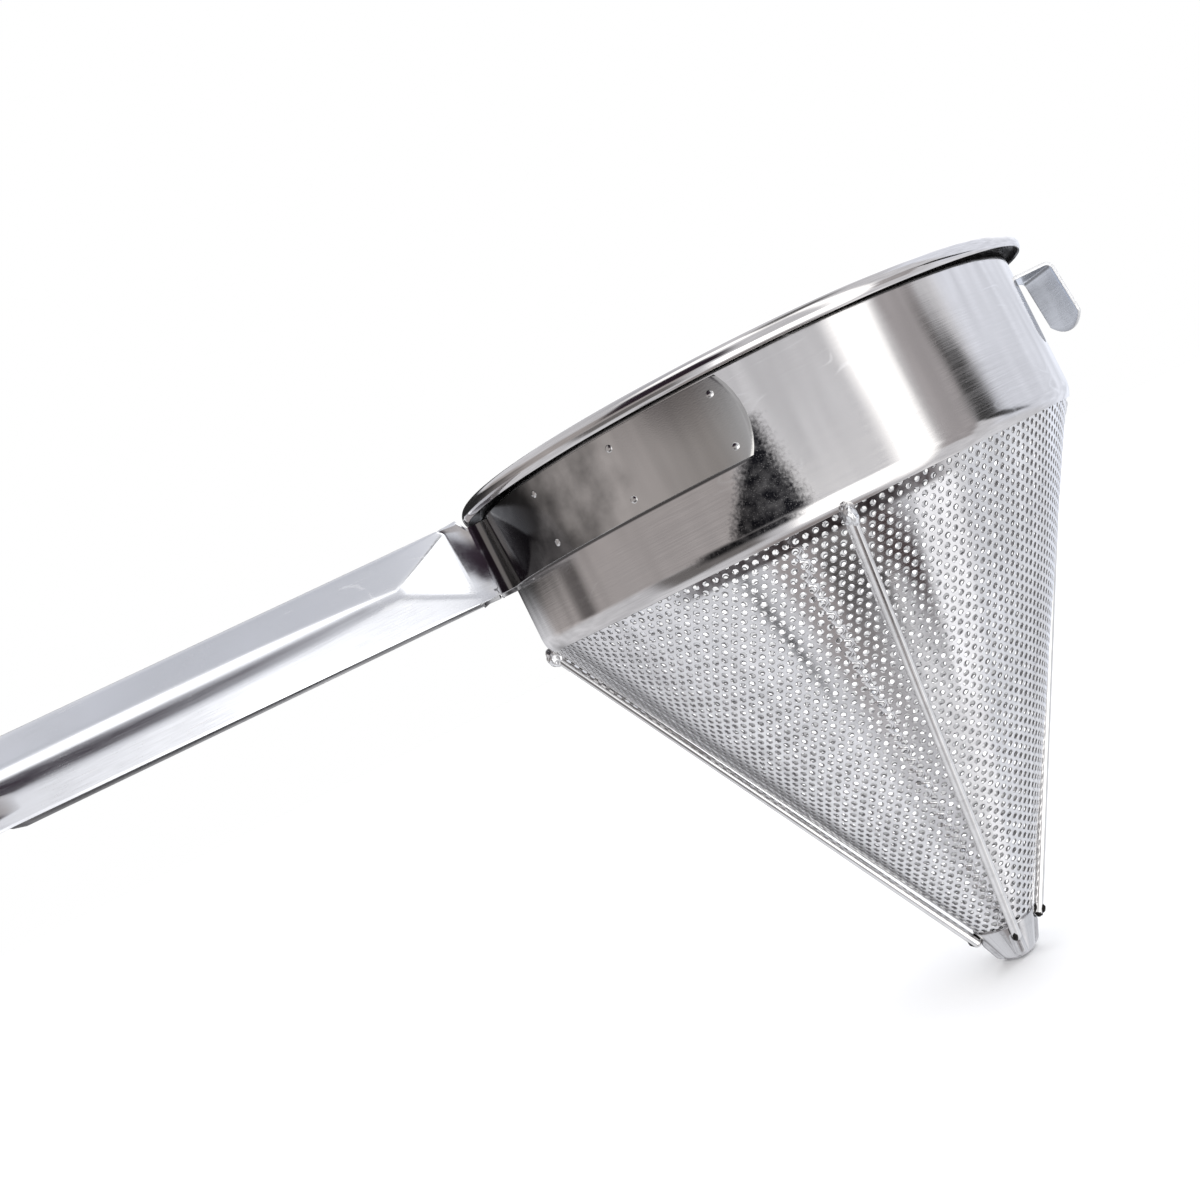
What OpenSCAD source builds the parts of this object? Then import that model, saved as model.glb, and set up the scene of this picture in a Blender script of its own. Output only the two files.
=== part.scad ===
// Chinois strainer: a conical perforated sieve hung from a polished collar,
// with a folded channel handle on one side and a rest hook on the other.
// The cone points down along Z, the handle points along negative X.
// The origin lies on the cone's axis, where the collar starts to roll outwards.

/* [Collar band] */
// Outer diameter of the collar
band_d = 240; // [180:1:300]
// Height of the collar's straight wall, from the rolled rim to the lip bend
band_h = 57; // [45:1:80]
// Thickness of the collar's sheet
band_t = 1.0; // [0.6:0.1:1.5]
// Outer radius of the rolled rim's curl
rim_r = 4.25; // [3.0:0.05:5.5]
// How far below level the curl's free edge turns
rim_turn = 45; // [20:1:70]
// Bend radius of the lip that turns in to meet the cone
lip_r = 14; // [10:1:24]

/* [Perforated cone] */
// Half angle of the cone
cone_half_angle = 29.7; // [26:0.1:34]
// Thickness of the perforated sheet
cone_t = 0.8; // [0.5:0.1:1.2]
// Diameter of a punched hole
hole_d = 2.3; // [1.0:0.1:3.0]
// Distance between neighbouring holes on the real sheet
hole_pitch = 3.9; // [3.5:0.1:6.0]
// Turn of the hole grid in the flat sheet, before it is rolled up
hole_turn = -2.8; // [-30:0.1:30]
// Modelled holes: one row in this many, and one hole in this many along a row
hole_ratio = 7; // [4:1:12]
// Plain margin of sheet next to the lip, the cap and the seam
hole_margin = 5; // [3:0.5:12]

/* [Tip cap] */
// Outer radius of the cap's open edge
cap_edge_r = 13.9; // [10:0.1:20]
// Outer radius of the cap's blunt end, before it rounds over
cap_end_r = 8.2; // [5:0.1:9.8]
// Length of the cap
cap_h = 15.6; // [12:0.1:22]
// Thickness of the cap's sheet
cap_t = 0.8; // [0.5:0.1:1.2]
// Rounding of the cap's blunt end
cap_round = 3.2; // [2.0:0.1:4.0]
// Radius of a pressed flute on the cap
flute_r = 2.6; // [1.5:0.1:3.5]

/* [Ribs] */
// Diameter of a rib wire
rib_d = 4.0; // [3.0:0.1:6.0]
// Number of ribs round the cone is four; this turns the set about the axis
rib_turn = -4.5; // [-40:0.5:40]
// How far a rib's rounded end runs over the cap
rib_over_cap = 2.8; // [1.0:0.1:4.0]
// Radius of the weld bead that holds a rib's upper end
rib_bead_r = 3.9; // [2.8:0.1:5.0]
// Radius of the weld spot at a rib's lower end
rib_tack_r = 2.9; // [2.4:0.1:3.6]

/* [Handle] */
// How far the handle reaches out from the collar's outer face
handle_reach = 230; // [150:1:300]
// Outer width of the channel beside the collar
handle_w = 35.2; // [28:0.2:44]
// Outer width of the channel at its free end
handle_end_w = 48; // [34:0.5:60]
// Thickness of the handle's sheet
handle_t = 1.2; // [0.8:0.1:2.0]
// Height of the ridge above the origin, beside the collar
ridge_z = 1.5; // [0:0.1:4]
// Width of the flattened ridge
ridge_w = 5; // [3:0.5:8]
// How far the handle climbs towards its free end
handle_rise = 2.0; // [0:0.1:8]
// Height of the crease below the origin, beside the collar
crease_drop = 16.4; // [13:0.1:20]
// Height of the soft crease itself
crease_h = 3.0; // [1.5:0.1:5]
// How far the channel's lower edge draws in from the crease
wall_lean = 0.8; // [0:0.1:2]
// Radius of the free end's lower corners
handle_corner_r = 12; // [6:0.5:16]
// Diameter of the hanging hole
hang_d = 9; // [6:0.5:12]
// Distance from the free end to the hanging hole
hang_inset = 14; // [12:0.5:25]

/* [Handle wings] */
// Distance from the origin's level down to the wings' upper edge
wing_drop = 3.6; // [3.4:0.1:8]
// Height of a wing
wing_h = 30.2; // [26:0.1:36]
// Angle that a wing reaches round the collar, from the handle's centre line
wing_angle = 78; // [60:1:86]
// Radius of a wing's rounded end, and of the hook's
sheet_end_r = 28.6; // [24:0.1:40]
// Distance from the collar to the bend where the channel opens
wing_bend_out = 6.5; // [5:0.1:10]

/* [Rest hook] */
// Width of the hook's strip
hook_w = 33; // [22:0.5:40]
// Thickness of the hook's strip
hook_t = 1.5; // [1.0:0.1:2.5]
// How far the hook's outer leg stands from the collar
hook_gap = 20; // [14:0.5:30]
// Distance from the origin's level down to the top of the hook
hook_drop = 8.6; // [7.5:0.1:14]
// Length of the hook's outer leg
hook_leg = 30; // [20:0.5:42]
// Length of the hook's welded leg
hook_base = 25; // [16:0.5:36]
// Outward slant of the outer leg
hook_flare = 5; // [0:0.5:12]
// Outer bend radius of the hook
hook_bend = 4; // [3:0.1:6]

/* [Welds] */
// Radius of a spot weld
spot_r = 1.5; // [1.0:0.1:2.5]
// How far a spot weld stands proud
spot_h = 0.35; // [0.2:0.05:0.6]
// Angle from the handle's centre line to the first pair of spot welds
spot_first_angle = 35; // [30:0.5:40]
// Angle between the pairs of spot welds
spot_step_angle = 19.5; // [14:0.5:20]
// Distance between the two spot welds of a pair
spot_rows = 19.6; // [10:0.2:21]
// Number of spot weld pairs on each wing
spot_pairs = 3; // [2:1:3]
// Width of the cone's seam weld
seam_w = 2.6; // [1.6:0.1:4.0]
// Height of the cone's seam weld
seam_h = 0.4; // [0.2:0.05:0.8]

/* [Hidden] */

// Running gap that keeps pressed and welded sheets from sharing a face
seat = 0.05;
// Small overlap that lets two cuts meet cleanly
eps = 0.2;
big = 1000;
rib_count = 4;
$fn = 96;
fine = 720;

band_r = band_d / 2;
rim_c = band_r - band_t + rim_r;

// The lip's bend, and the slanted line where the cone's outer face lies
lip_c = band_r - lip_r;
seat_r = lip_r - band_t - seat;
cone_r0 = lip_c + seat_r * cos(cone_half_angle);
cone_z0 = -band_h - seat_r * sin(cone_half_angle);
cap_seat = cap_edge_r - cap_t - seat;
cap_s = (cone_r0 - cap_seat) / sin(cone_half_angle);
cap_z = cone_z0 - cap_s * cos(cone_half_angle);
cone_s = cap_s + 0.35 * cap_h / cos(cone_half_angle);

// A point on the cone's outer face, s along it and out from it
function cone_r(s, out = 0) = cone_r0 - s * sin(cone_half_angle) + out * cos(cone_half_angle);
function cone_z(s, out = 0) = cone_z0 - s * cos(cone_half_angle) - out * sin(cone_half_angle);

// The rib's two ends, in the plane through the axis
rib_r = rib_d / 2;
cap_lean = atan((cap_edge_r - cap_end_r) / (cap_h - cap_round));
rib_end_out = rib_r + cap_t + 2 * seat + rib_over_cap * sin(cone_half_angle - cap_lean) + 0.1;
rib_a = [cone_r(0.1, rib_r + 2 * seat), cone_z(0.1, rib_r + 2 * seat)];
rib_b = [cone_r(cap_s + rib_over_cap, rib_end_out), cone_z(cap_s + rib_over_cap, rib_end_out)];
rib_len = norm(rib_b - rib_a);
rib_slant = atan2(rib_b[0] - rib_a[0], rib_b[1] - rib_a[1]);

// Handle outline: heights are the same beside the collar and shifted at the end
wing_r1 = band_r + seat;
wing_r2 = wing_r1 + handle_t;
wing_low = -wing_drop - wing_h;
bend_x = band_r + wing_bend_out;
half_w = handle_w / 2;
bend_r = (bend_x * bend_x + half_w * half_w - wing_r2 * wing_r2) / (2 * (wing_r2 - half_w));
bend_y = half_w + bend_r;
bend_a = atan2(bend_y, bend_x);
split_x = bend_x + 36;
notch_x = bend_x + 11;
// How much the sheet thins on each face in the bend, and how far the bend laps
fold_thin = 0.1;
fold_reach = 0.8;
fold_lap = 2.5;
bend_steps = 12;
flat_x = bend_x + 0.3;
end_x = band_r + handle_reach;
hang_x = end_x - hang_inset;
hang_z = (wing_low - crease_drop) / 2 + handle_rise;

// Hook outline
hook_top = -hook_drop;
hook_x = band_r + hook_gap + hook_t;
spot_mid = -wing_drop - wing_h / 2;

// Points along an arc, from angle a to angle b
function arc_points(cx, cy, r, a, b, n) =
    [for (i = [0 : n]) [cx + r * cos(a + (b - a) * i / n), cy + r * sin(a + (b - a) * i / n)]];

// Pie slice between two angles less than 180 degrees apart
module slice_2d(a, b) {
    mid = (a + b) / 2;
    polygon([[0, 0], big * [cos(a), sin(a)], big * [cos(mid), sin(mid)], big * [cos(b), sin(b)]]);
}

// Ring sector of sheet, from inner to outer radius
module bent_strip_2d(r_in, r_out, a, b) {
    intersection() {
        difference() {
            circle(r_out);
            circle(r_in);
        }
        slice_2d(a, b);
    }
}

// Cross section of the collar: rolled rim, straight wall and lip
module band_profile() {
    translate([rim_c, 0]) {
        bent_strip_2d(rim_r - band_t, rim_r, 60, 180);
        bent_strip_2d(rim_r - band_t, rim_r, -rim_turn, 61);
    }
    translate([band_r - band_t, -band_h]) square([band_t, band_h]);
    translate([lip_c, -band_h]) bent_strip_2d(lip_r - band_t, lip_r, -cone_half_angle, 0);
}

module collar_band() {
    color("gainsboro") rotate_extrude() band_profile();
}

// Cross section of the sieve: a flange seated in the lip, then the slanted wall
module cone_profile() {
    polygon(concat(
        arc_points(lip_c, -band_h, seat_r, 0, -cone_half_angle, bend_steps),
        [[cone_r(cone_s), cone_z(cone_s)], [cone_r(cone_s, -cone_t), cone_z(cone_s, -cone_t)]],
        arc_points(lip_c, -band_h, seat_r - cone_t, -cone_half_angle, 0, bend_steps)
    ));
}

// Everything inside the cone's outer face
module cone_solid(grow = 0) {
    rotate_extrude($fn = fine) polygon([
        [0, cone_z(-lip_r, grow)],
        [cone_r(-lip_r, grow), cone_z(-lip_r, grow)],
        [cone_r(cone_s, grow), cone_z(cone_s, grow)],
        [0, cone_z(cone_s, grow)]
    ]);
}

// The sheet is punched flat on a triangular grid, then rolled up. In the flat
// sheet the cone's apex is the origin, and the seam lies opposite to the X axis.
apex_s = cone_r0 / sin(cone_half_angle);
fan_half = 180 * sin(cone_half_angle);
grid = hole_pitch * hole_ratio;
grid_n = ceil(apex_s / grid) + 1;
flat_holes = [
    for (i = [-2 * grid_n : 2 * grid_n], j = [-2 * grid_n : 2 * grid_n])
        let (
            u = grid * (i + j / 2),
            v = grid * j * sin(60),
            x = u * cos(hole_turn) - v * sin(hole_turn),
            y = u * sin(hole_turn) + v * cos(hole_turn),
            d = norm([x, y]),
            a = atan2(y, x),
            edge = (fan_half - abs(a)) * PI / 180 * d
        )
        if (d > apex_s - cap_s + hole_margin && d < apex_s - hole_margin && edge > hole_margin)
            [apex_s - d, a / sin(cone_half_angle)]
];
seam_turn = 135;

module perforated_cone() {
    color("silver") difference() {
        rotate_extrude() cone_profile();
        for (h = flat_holes)
            rotate([0, 0, seam_turn + 180 + h[1]])
                translate([cone_r(h[0], -2 * cone_t), 0, cone_z(h[0], -2 * cone_t)])
                    rotate([0, 90 + cone_half_angle, 0])
                        cylinder(h = 4 * cone_t, d = hole_d);
    }
}

module cone_seam_weld() {
    sink = (seam_w * seam_w / 4 - seam_h * seam_h) / (2 * seam_h);
    run = cap_s - 2;
    color("darkgray") difference() {
        rotate([0, 0, seam_turn])
            translate([cone_r(1, -sink), 0, cone_z(1, -sink)])
                rotate([0, 180 + cone_half_angle, 0])
                    cylinder(h = run, r = sink + seam_h);
        cone_solid(seat);
    }
}

// Cross section of the cap, solid or as the hollow inside it
module cap_profile(inset) {
    w = cap_edge_r - inset;
    e = cap_end_r - inset;
    c = max(cap_round - inset, 0.5);
    end_z = cap_z - cap_h + inset;
    lean = cap_lean;
    polygon(concat(
        [[0, cap_z], [w, cap_z]],
        arc_points(e - c, end_z + c, c, -lean, -90, 8),
        [[0, end_z]]
    ));
}

// One pressed flute, in line with a rib
module cap_flute() {
    lean = atan((cap_edge_r - cap_end_r) / cap_h);
    run = cap_h / cos(lean) - 1.5 * flute_r;
    start = rib_over_cap * cos(cone_half_angle) + rib_r + seat;
    sunk = 0.35 * flute_r;
    translate([cap_edge_r - sunk, 0, cap_z]) rotate([0, 180 + lean, 0]) {
        translate([0, 0, start]) cylinder(h = run - start, r = flute_r);
        translate([0, 0, run]) sphere(flute_r);
    }
}

module tip_cap() {
    color("lightgray") difference() {
        union() {
            rotate_extrude() cap_profile(0);
            for (i = [0 : rib_count - 1]) rotate([0, 0, rib_turn - 90 + i * 90]) cap_flute();
        }
        rotate_extrude() translate([0, eps]) cap_profile(cap_t);
        cone_solid(seat);
        for (i = [0 : rib_count - 1]) rib_wire(rib_turn - 90 + i * 90, seat);
    }
}

// A straight wire with a rounded lower end, lying along the cone
module rib_wire(turn, grow = 0) {
    rotate([0, 0, turn]) translate([rib_a[0], 0, rib_a[1]]) rotate([0, rib_slant, 0]) {
        cylinder(h = rib_len, r = rib_r + grow);
        translate([0, 0, rib_len]) sphere(rib_r + grow);
    }
}

module front_rib() {
    color("whitesmoke") rib_wire(rib_turn - 90);
}

module right_rib() {
    color("whitesmoke") rib_wire(rib_turn);
}

module rear_rib() {
    color("whitesmoke") rib_wire(rib_turn + 90);
}

module left_rib() {
    color("whitesmoke") rib_wire(rib_turn + 180);
}

// Beads that join the ribs' upper ends to the lip
module rib_top_welds() {
    color("darkgray") for (i = [0 : rib_count - 1]) rotate([0, 0, rib_turn - 90 + i * 90])
        difference() {
            translate([rib_a[0], 0, rib_a[1]]) sphere(rib_bead_r);
            rib_wire(0);
            cone_solid(seat);
            rotate_extrude() intersection() {
                union() {
                    translate([lip_c, -band_h]) circle(lip_r + seat);
                    translate([0, -band_h]) square([band_r + seat, band_h]);
                }
                polygon([
                    [0, 0],
                    [big, 0],
                    [big, -band_h],
                    [cone_r(-seat, 2 * lip_r), cone_z(-seat, 2 * lip_r)],
                    [cone_r(-seat, -lip_r), cone_z(-seat, -lip_r)]
                ]);
            }
        }
}

// Spots that tack the ribs' rounded ends to the cap
module rib_tip_welds() {
    back = rib_r;
    along = rib_len - back;
    x = rib_a[0] + along * sin(rib_slant);
    z = rib_a[1] + along * cos(rib_slant);
    color("dimgray") for (i = [0 : rib_count - 1]) rotate([0, 0, rib_turn - 90 + i * 90])
        difference() {
            translate([x - rib_r / 2, 0, z]) sphere(rib_tack_r);
            rib_wire(0);
            cone_solid(seat);
            rotate_extrude() cap_profile(-seat);
        }
}

// Outer corners of the channel at one station, from the near lower edge over
// the ridge to the far lower edge. Each station gives its own x to each corner.
function half_section(w, lean, x_low, x_crease, x_up, x_top, lift, up, low) = [
    [-x_low, -(w - lean), wing_low + lift],
    [-x_crease, low[0], low[1] + lift],
    [-x_up, up[0], up[1] + lift],
    [-x_top, -ridge_w / 2, ridge_z + lift]
];

// The same corners moved in by the sheet's thickness
function inner_half(p) =
    let (
        roof = atan2(p[3][2] - p[2][2], p[3][1] - p[2][1]),
        wall_bow = atan2(p[2][2] - p[1][2], p[2][1] - p[1][1]),
        k1 = tan((90 - wall_bow) / 2),
        k2 = tan((wall_bow - roof) / 2),
        t = handle_t
    ) [
        [p[0][0], p[0][1] + t, p[0][2]],
        [p[1][0], p[1][1] + t, p[1][2] - t * k1],
        [p[2][0], p[2][1] + t * sin(wall_bow) + t * k2 * cos(wall_bow) * -1,
         p[2][2] - t * cos(wall_bow) - t * k2 * sin(wall_bow)],
        [p[3][0], p[3][1] + t * tan(roof / 2), p[3][2] - t]
    ];

function flip_y(p) = [p[0], -p[1], p[2]];
function ring_of(p) =
    let (q = inner_half(p))
    concat(p, [for (i = [3 : -1 : 0]) flip_y(p[i])], [for (i = [0 : 3]) flip_y(q[i])],
           [for (i = [3 : -1 : 0]) q[i]]);

// Corner heights of a plain channel station of half width w
function plain_station(x, w, lift) =
    half_section(w, wall_lean, x, x, x, x, lift,
                 [-(w - crease_h * 0.2), -crease_drop + crease_h / 2],
                 [-w, -crease_drop - crease_h / 2]);

handle_rings = [
    ring_of(plain_station(end_x, handle_end_w / 2, handle_rise)),
    ring_of(plain_station(split_x, half_w + 0.9, 0.3)),
    ring_of(half_section(half_w, wall_lean / 2, notch_x, notch_x, notch_x + 1, notch_x + 5, 0,
                         [-ridge_w / 2 - 1.5, ridge_z - 1.5],
                         [-half_w, wing_low + 4])),
    ring_of(half_section(half_w, 0, flat_x, flat_x, flat_x, notch_x + 1, 0,
                         [-half_w + 0.01, -wing_drop],
                         [-half_w, wing_low + 2]))
];

// Closed sheet lofted through the stations
module handle_channel() {
    m = len(handle_rings[0]);
    k = len(handle_rings);
    pts = [for (ring = handle_rings) for (p = ring) p];
    sides = [
        for (r = [0 : k - 2], i = [0 : m - 1])
            for (f = [[r * m + i, r * m + (i + 1) % m, (r + 1) * m + i],
                      [r * m + (i + 1) % m, (r + 1) * m + (i + 1) % m, (r + 1) * m + i]]) f
    ];
    first = [for (i = [0 : m / 2 - 2]) for (f = [[i + 1, i, m - 1 - i], [i + 1, m - 1 - i, m - 2 - i]]) f];
    o = (k - 1) * m;
    last = [for (i = [0 : m / 2 - 2])
        for (f = [[o + i, o + i + 1, o + m - 1 - i], [o + i + 1, o + m - 2 - i, o + m - 1 - i]]) f];
    polyhedron(points = pts, faces = concat(sides, first, last));
}

// Sheet that leaves the channel's wall and bends towards the collar. It thins a
// little in the bend, and runs on into the wall and the wing that it joins.
module wing_bend() {
    inner = bend_r + fold_thin;
    outer = bend_r + handle_t - fold_thin;
    start = bend_a - fold_lap;
    translate([0, 0, wing_low + fold_thin]) linear_extrude(wing_h - 2 * fold_thin)
        polygon(concat(
            arc_points(-bend_x, -bend_y, inner, 90, start, bend_steps),
            arc_points(-bend_x, -bend_y, outer, start, 90, bend_steps),
            [[-flat_x - fold_reach, outer - bend_y], [-flat_x - fold_reach, inner - bend_y]]
        ));
}

// Sheet that follows the collar and ends in an arc
module wing() {
    end_a = wing_angle - asin(sheet_end_r / wing_r2);
    mid_z = -wing_drop - wing_h / 2;
    wing_bend();
    intersection() {
        translate([0, 0, wing_low]) linear_extrude(wing_h)
            bent_strip_2d(wing_r1, wing_r2, 180 + bend_a, 180 + wing_angle + 1);
        union() {
            translate([0, 0, wing_low - eps]) linear_extrude(wing_h + 2 * eps) slice_2d(150, 180 + end_a);
            translate([0, 0, mid_z]) rotate([0, 0, 180 + end_a]) rotate([0, 90, 0])
                cylinder(h = 2 * band_r, r = sheet_end_r);
        }
    }
}

// Cuts that round the lower corners of the free end
module end_corner_cut() {
    z = wing_low + handle_rise + handle_corner_r;
    translate([-end_x + handle_corner_r, handle_end_w, z]) rotate([90, 0, 0])
        linear_extrude(2 * handle_end_w) difference() {
            translate([-2 * handle_corner_r, -2 * handle_corner_r]) square(2 * handle_corner_r);
            circle(handle_corner_r);
        }
}

module handle() {
    color("lightsteelblue") difference() {
        union() {
            handle_channel();
            wing();
            mirror([0, 1, 0]) wing();
        }
        end_corner_cut();
        translate([-hang_x, 0, hang_z]) rotate([90, 0, 0])
            cylinder(h = 2 * handle_end_w, d = hang_d, center = true);
    }
}

// A round nugget standing proud of a curved sheet, at an angle round the axis
module spot_weld(turn, z, face_r) {
    intersection() {
        rotate([0, 0, turn]) translate([face_r - spot_r, 0, z]) rotate([0, 90, 0])
            cylinder(h = 2 * spot_r + spot_h, r = spot_r);
        translate([0, 0, z - 2 * spot_r]) difference() {
            cylinder(h = 4 * spot_r, r = face_r + spot_h, $fn = fine);
            translate([0, 0, -eps]) cylinder(h = 4 * spot_r + 2 * eps, r = face_r, $fn = fine);
        }
    }
}

module handle_spot_welds() {
    color("gray") for (side = [-1, 1], i = [0 : spot_pairs - 1], row = [-0.5, 0.5])
        spot_weld(180 + side * (spot_first_angle + i * spot_step_angle), spot_mid + row * spot_rows, wing_r2);
}

// The outer leg and bridge as a bent strip seen along Y
module hook_side_2d() {
    translate([band_r + seat, hook_top - hook_t]) square([hook_x - hook_bend - band_r - seat, hook_t]);
    translate([hook_x - hook_bend, hook_top - hook_bend])
        bent_strip_2d(hook_bend - hook_t, hook_bend, hook_flare, 90);
    translate([hook_x - hook_bend, hook_top - hook_bend]) rotate(hook_flare)
        translate([hook_bend - hook_t, -hook_leg + hook_bend]) square([hook_t, hook_leg - hook_bend + eps / 10]);
}

module rest_hook() {
    foot_r = sheet_end_r;
    color("lightslategray") {
        intersection() {
            rotate([90, 0, 0]) translate([0, 0, -hook_w / 2]) linear_extrude(hook_w) hook_side_2d();
            union() {
                translate([0, -hook_w, hook_top - hook_leg + foot_r]) cube([2 * band_r, 2 * hook_w, 2 * hook_leg]);
                translate([0, 0, hook_top - hook_leg + foot_r]) rotate([0, 90, 0]) cylinder(h = 2 * band_r, r = foot_r);
            }
            difference() {
                translate([0, -hook_w, -big / 2]) cube([big, 2 * hook_w, big]);
                translate([0, 0, -band_h]) cylinder(h = band_h, r = band_r + seat, $fn = fine);
            }
        }
        intersection() {
            translate([0, 0, hook_top - hook_base]) difference() {
                cylinder(h = hook_base, r = band_r + seat + hook_t, $fn = fine);
                translate([0, 0, -eps]) cylinder(h = hook_base + 2 * eps, r = band_r + seat, $fn = fine);
            }
            translate([0, -hook_w / 2, hook_top - hook_base]) cube([2 * band_r, hook_w, hook_base]);
        }
    }
}

module hook_spot_welds() {
    half = asin(hook_w / 4 / band_r);
    face = band_r + seat + hook_t;
    color("gray") for (a = [-half, half], z = [-0.25, 0.25])
        spot_weld(a, hook_top - hook_t - (hook_base - hook_t) / 2 + z * hook_base, face);
}

collar_band();
perforated_cone();
cone_seam_weld();
tip_cap();
front_rib();
right_rib();
rear_rib();
left_rib();
rib_top_welds();
rib_tip_welds();
handle();
handle_spot_welds();
rest_hook();
hook_spot_welds();
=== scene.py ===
# %% [markdown]
# # A chinois strainer, dressed for its photograph
#
# A chinois is a conical sieve. A deep steel collar holds a cone of punched sheet,
# four wires run down the cone to a small cap, a folded handle is spot welded to
# the collar, and a bent hook opposite the handle rests on the rim of a pot.
# Each piece below stands in for a CAD node of the same size. The work is done in
# millimetres and turned to metres when a piece is finished.

# %% Load the frame and keep its size
import math
import bmesh
import bpy
from mathutils import Matrix, Vector, noise


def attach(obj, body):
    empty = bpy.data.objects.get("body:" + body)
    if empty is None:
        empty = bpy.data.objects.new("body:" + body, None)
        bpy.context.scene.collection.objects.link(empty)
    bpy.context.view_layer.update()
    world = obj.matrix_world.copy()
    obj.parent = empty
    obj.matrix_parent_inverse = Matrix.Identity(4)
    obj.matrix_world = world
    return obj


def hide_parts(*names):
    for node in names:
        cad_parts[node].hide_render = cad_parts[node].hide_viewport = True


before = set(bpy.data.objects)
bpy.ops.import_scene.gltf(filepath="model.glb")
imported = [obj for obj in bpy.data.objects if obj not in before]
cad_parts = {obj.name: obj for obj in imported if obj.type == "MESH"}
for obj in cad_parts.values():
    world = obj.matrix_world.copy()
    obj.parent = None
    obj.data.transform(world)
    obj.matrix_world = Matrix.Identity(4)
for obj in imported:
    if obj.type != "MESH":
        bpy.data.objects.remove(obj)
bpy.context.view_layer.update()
MM = 0.001

# %% [markdown]
# ## Camera
#
# The photograph was taken from in front of the handle's side, a little below the
# collar, with the camera rolled so that the cone points to the lower right. Its
# place, turn, lens and shift come from a fit to the object's known circles and
# edges, so the render can be laid over the photograph.

# %% Place the camera
CAMERA_AT = Vector((-118.59, -583.61, -60.42))
CAMERA_RIGHT = Vector((0.88918, -0.10602, -0.44510))
CAMERA_UP = Vector((0.43842, -0.08092, 0.89512))
CAMERA_BACK = Vector((-0.13092, -0.99107, -0.02547))
FOCAL_PX = 1415.26
FRAME_PX = 1200
CENTRE_PX = (700, 530)
SENSOR = 36.0

camera_data = bpy.data.cameras.new("photo_camera")
camera_data.sensor_width = SENSOR
camera_data.lens = FOCAL_PX / FRAME_PX * SENSOR
camera_data.shift_x = (FRAME_PX / 2 - CENTRE_PX[0]) / FRAME_PX
camera_data.shift_y = (CENTRE_PX[1] - FRAME_PX / 2) / FRAME_PX
camera_data.clip_start = 0.01
camera = bpy.data.objects.new("photo_camera", camera_data)
bpy.context.scene.collection.objects.link(camera)
pose = Matrix((CAMERA_RIGHT, CAMERA_UP, CAMERA_BACK)).transposed().to_4x4()
camera.matrix_world = Matrix.Translation(CAMERA_AT * MM) @ pose
bpy.context.scene.camera = camera
print("lens", round(camera_data.lens, 2), "mm")

# %% [markdown]
# ## Sizes shared by the pieces
#
# The origin is on the cone's axis, where the collar's wall ends and its rim rolls
# outwards. The sieve's sheet runs along the slanted line that starts at the lip,
# so one function gives any point of it from a distance along the slope.

# %% Sizes and the cone's line
BAND_R = 120.0
BAND_T = 1.0
BAND_H = 57.0
RIM_R = 4.25
LIP_R = 14.0
SEAT = 0.05
HALF_ANGLE = math.radians(29.7)
CONE_T = 0.8
CAP_EDGE_R = 13.9
CAP_END_R = 8.2
CAP_H = 15.6
CAP_T = 0.8

RIM_C = BAND_R - BAND_T + RIM_R
LIP_C = BAND_R - LIP_R
SEAT_R = LIP_R - BAND_T - SEAT
CONE_R0 = LIP_C + SEAT_R * math.cos(HALF_ANGLE)
CONE_Z0 = -BAND_H - SEAT_R * math.sin(HALF_ANGLE)
CAP_S = (CONE_R0 - CAP_EDGE_R + CAP_T + SEAT) / math.sin(HALF_ANGLE)
CAP_Z = CONE_Z0 - CAP_S * math.cos(HALF_ANGLE)
APEX_S = CONE_R0 / math.sin(HALF_ANGLE)


def on_cone(s, out=0.0):
    """Radius and height of a point s down the sieve's slope and out from its face."""
    r = CONE_R0 - s * math.sin(HALF_ANGLE) + out * math.cos(HALF_ANGLE)
    z = CONE_Z0 - s * math.cos(HALF_ANGLE) - out * math.sin(HALF_ANGLE)
    return r, z


print("slope from lip to cap:", round(CAP_S, 1), "mm; cap edge at z", round(CAP_Z, 1))

# %% [markdown]
# ## Helpers
#
# A piece starts as a bmesh in millimetres. To finish it, doubles are merged, the
# normals are turned outwards, and the mesh is scaled to metres in place, so its
# object stays at the origin. Edges sharper than a given angle stay crisp. An open
# sheet has no inside of its own, so its faces are turned away from a point in the
# cone. A sheet then gets its thickness. Its cut edges and its back can take steels of
# their own, because no wheel polishes them, and some of these tints carry painted
# light and painted shade. Cut edges also get a small burr radius that catches the
# light, as they do on the real strainer.

# %% Finish a bmesh as a piece
made = []
INSIDE = Vector((0, 0, -30))
EDGE, BACK = 1, 2


def round_edges(piece, width):
    """Gives the sharp edges of a piece a small radius."""
    edge = piece.modifiers.new("burr", "BEVEL")
    edge.width = width * MM
    edge.segments = 2
    edge.limit_method = "ANGLE"
    edge.angle_limit = math.radians(60)
    edge.material = EDGE if len(piece.data.materials) > 1 else -1


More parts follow.
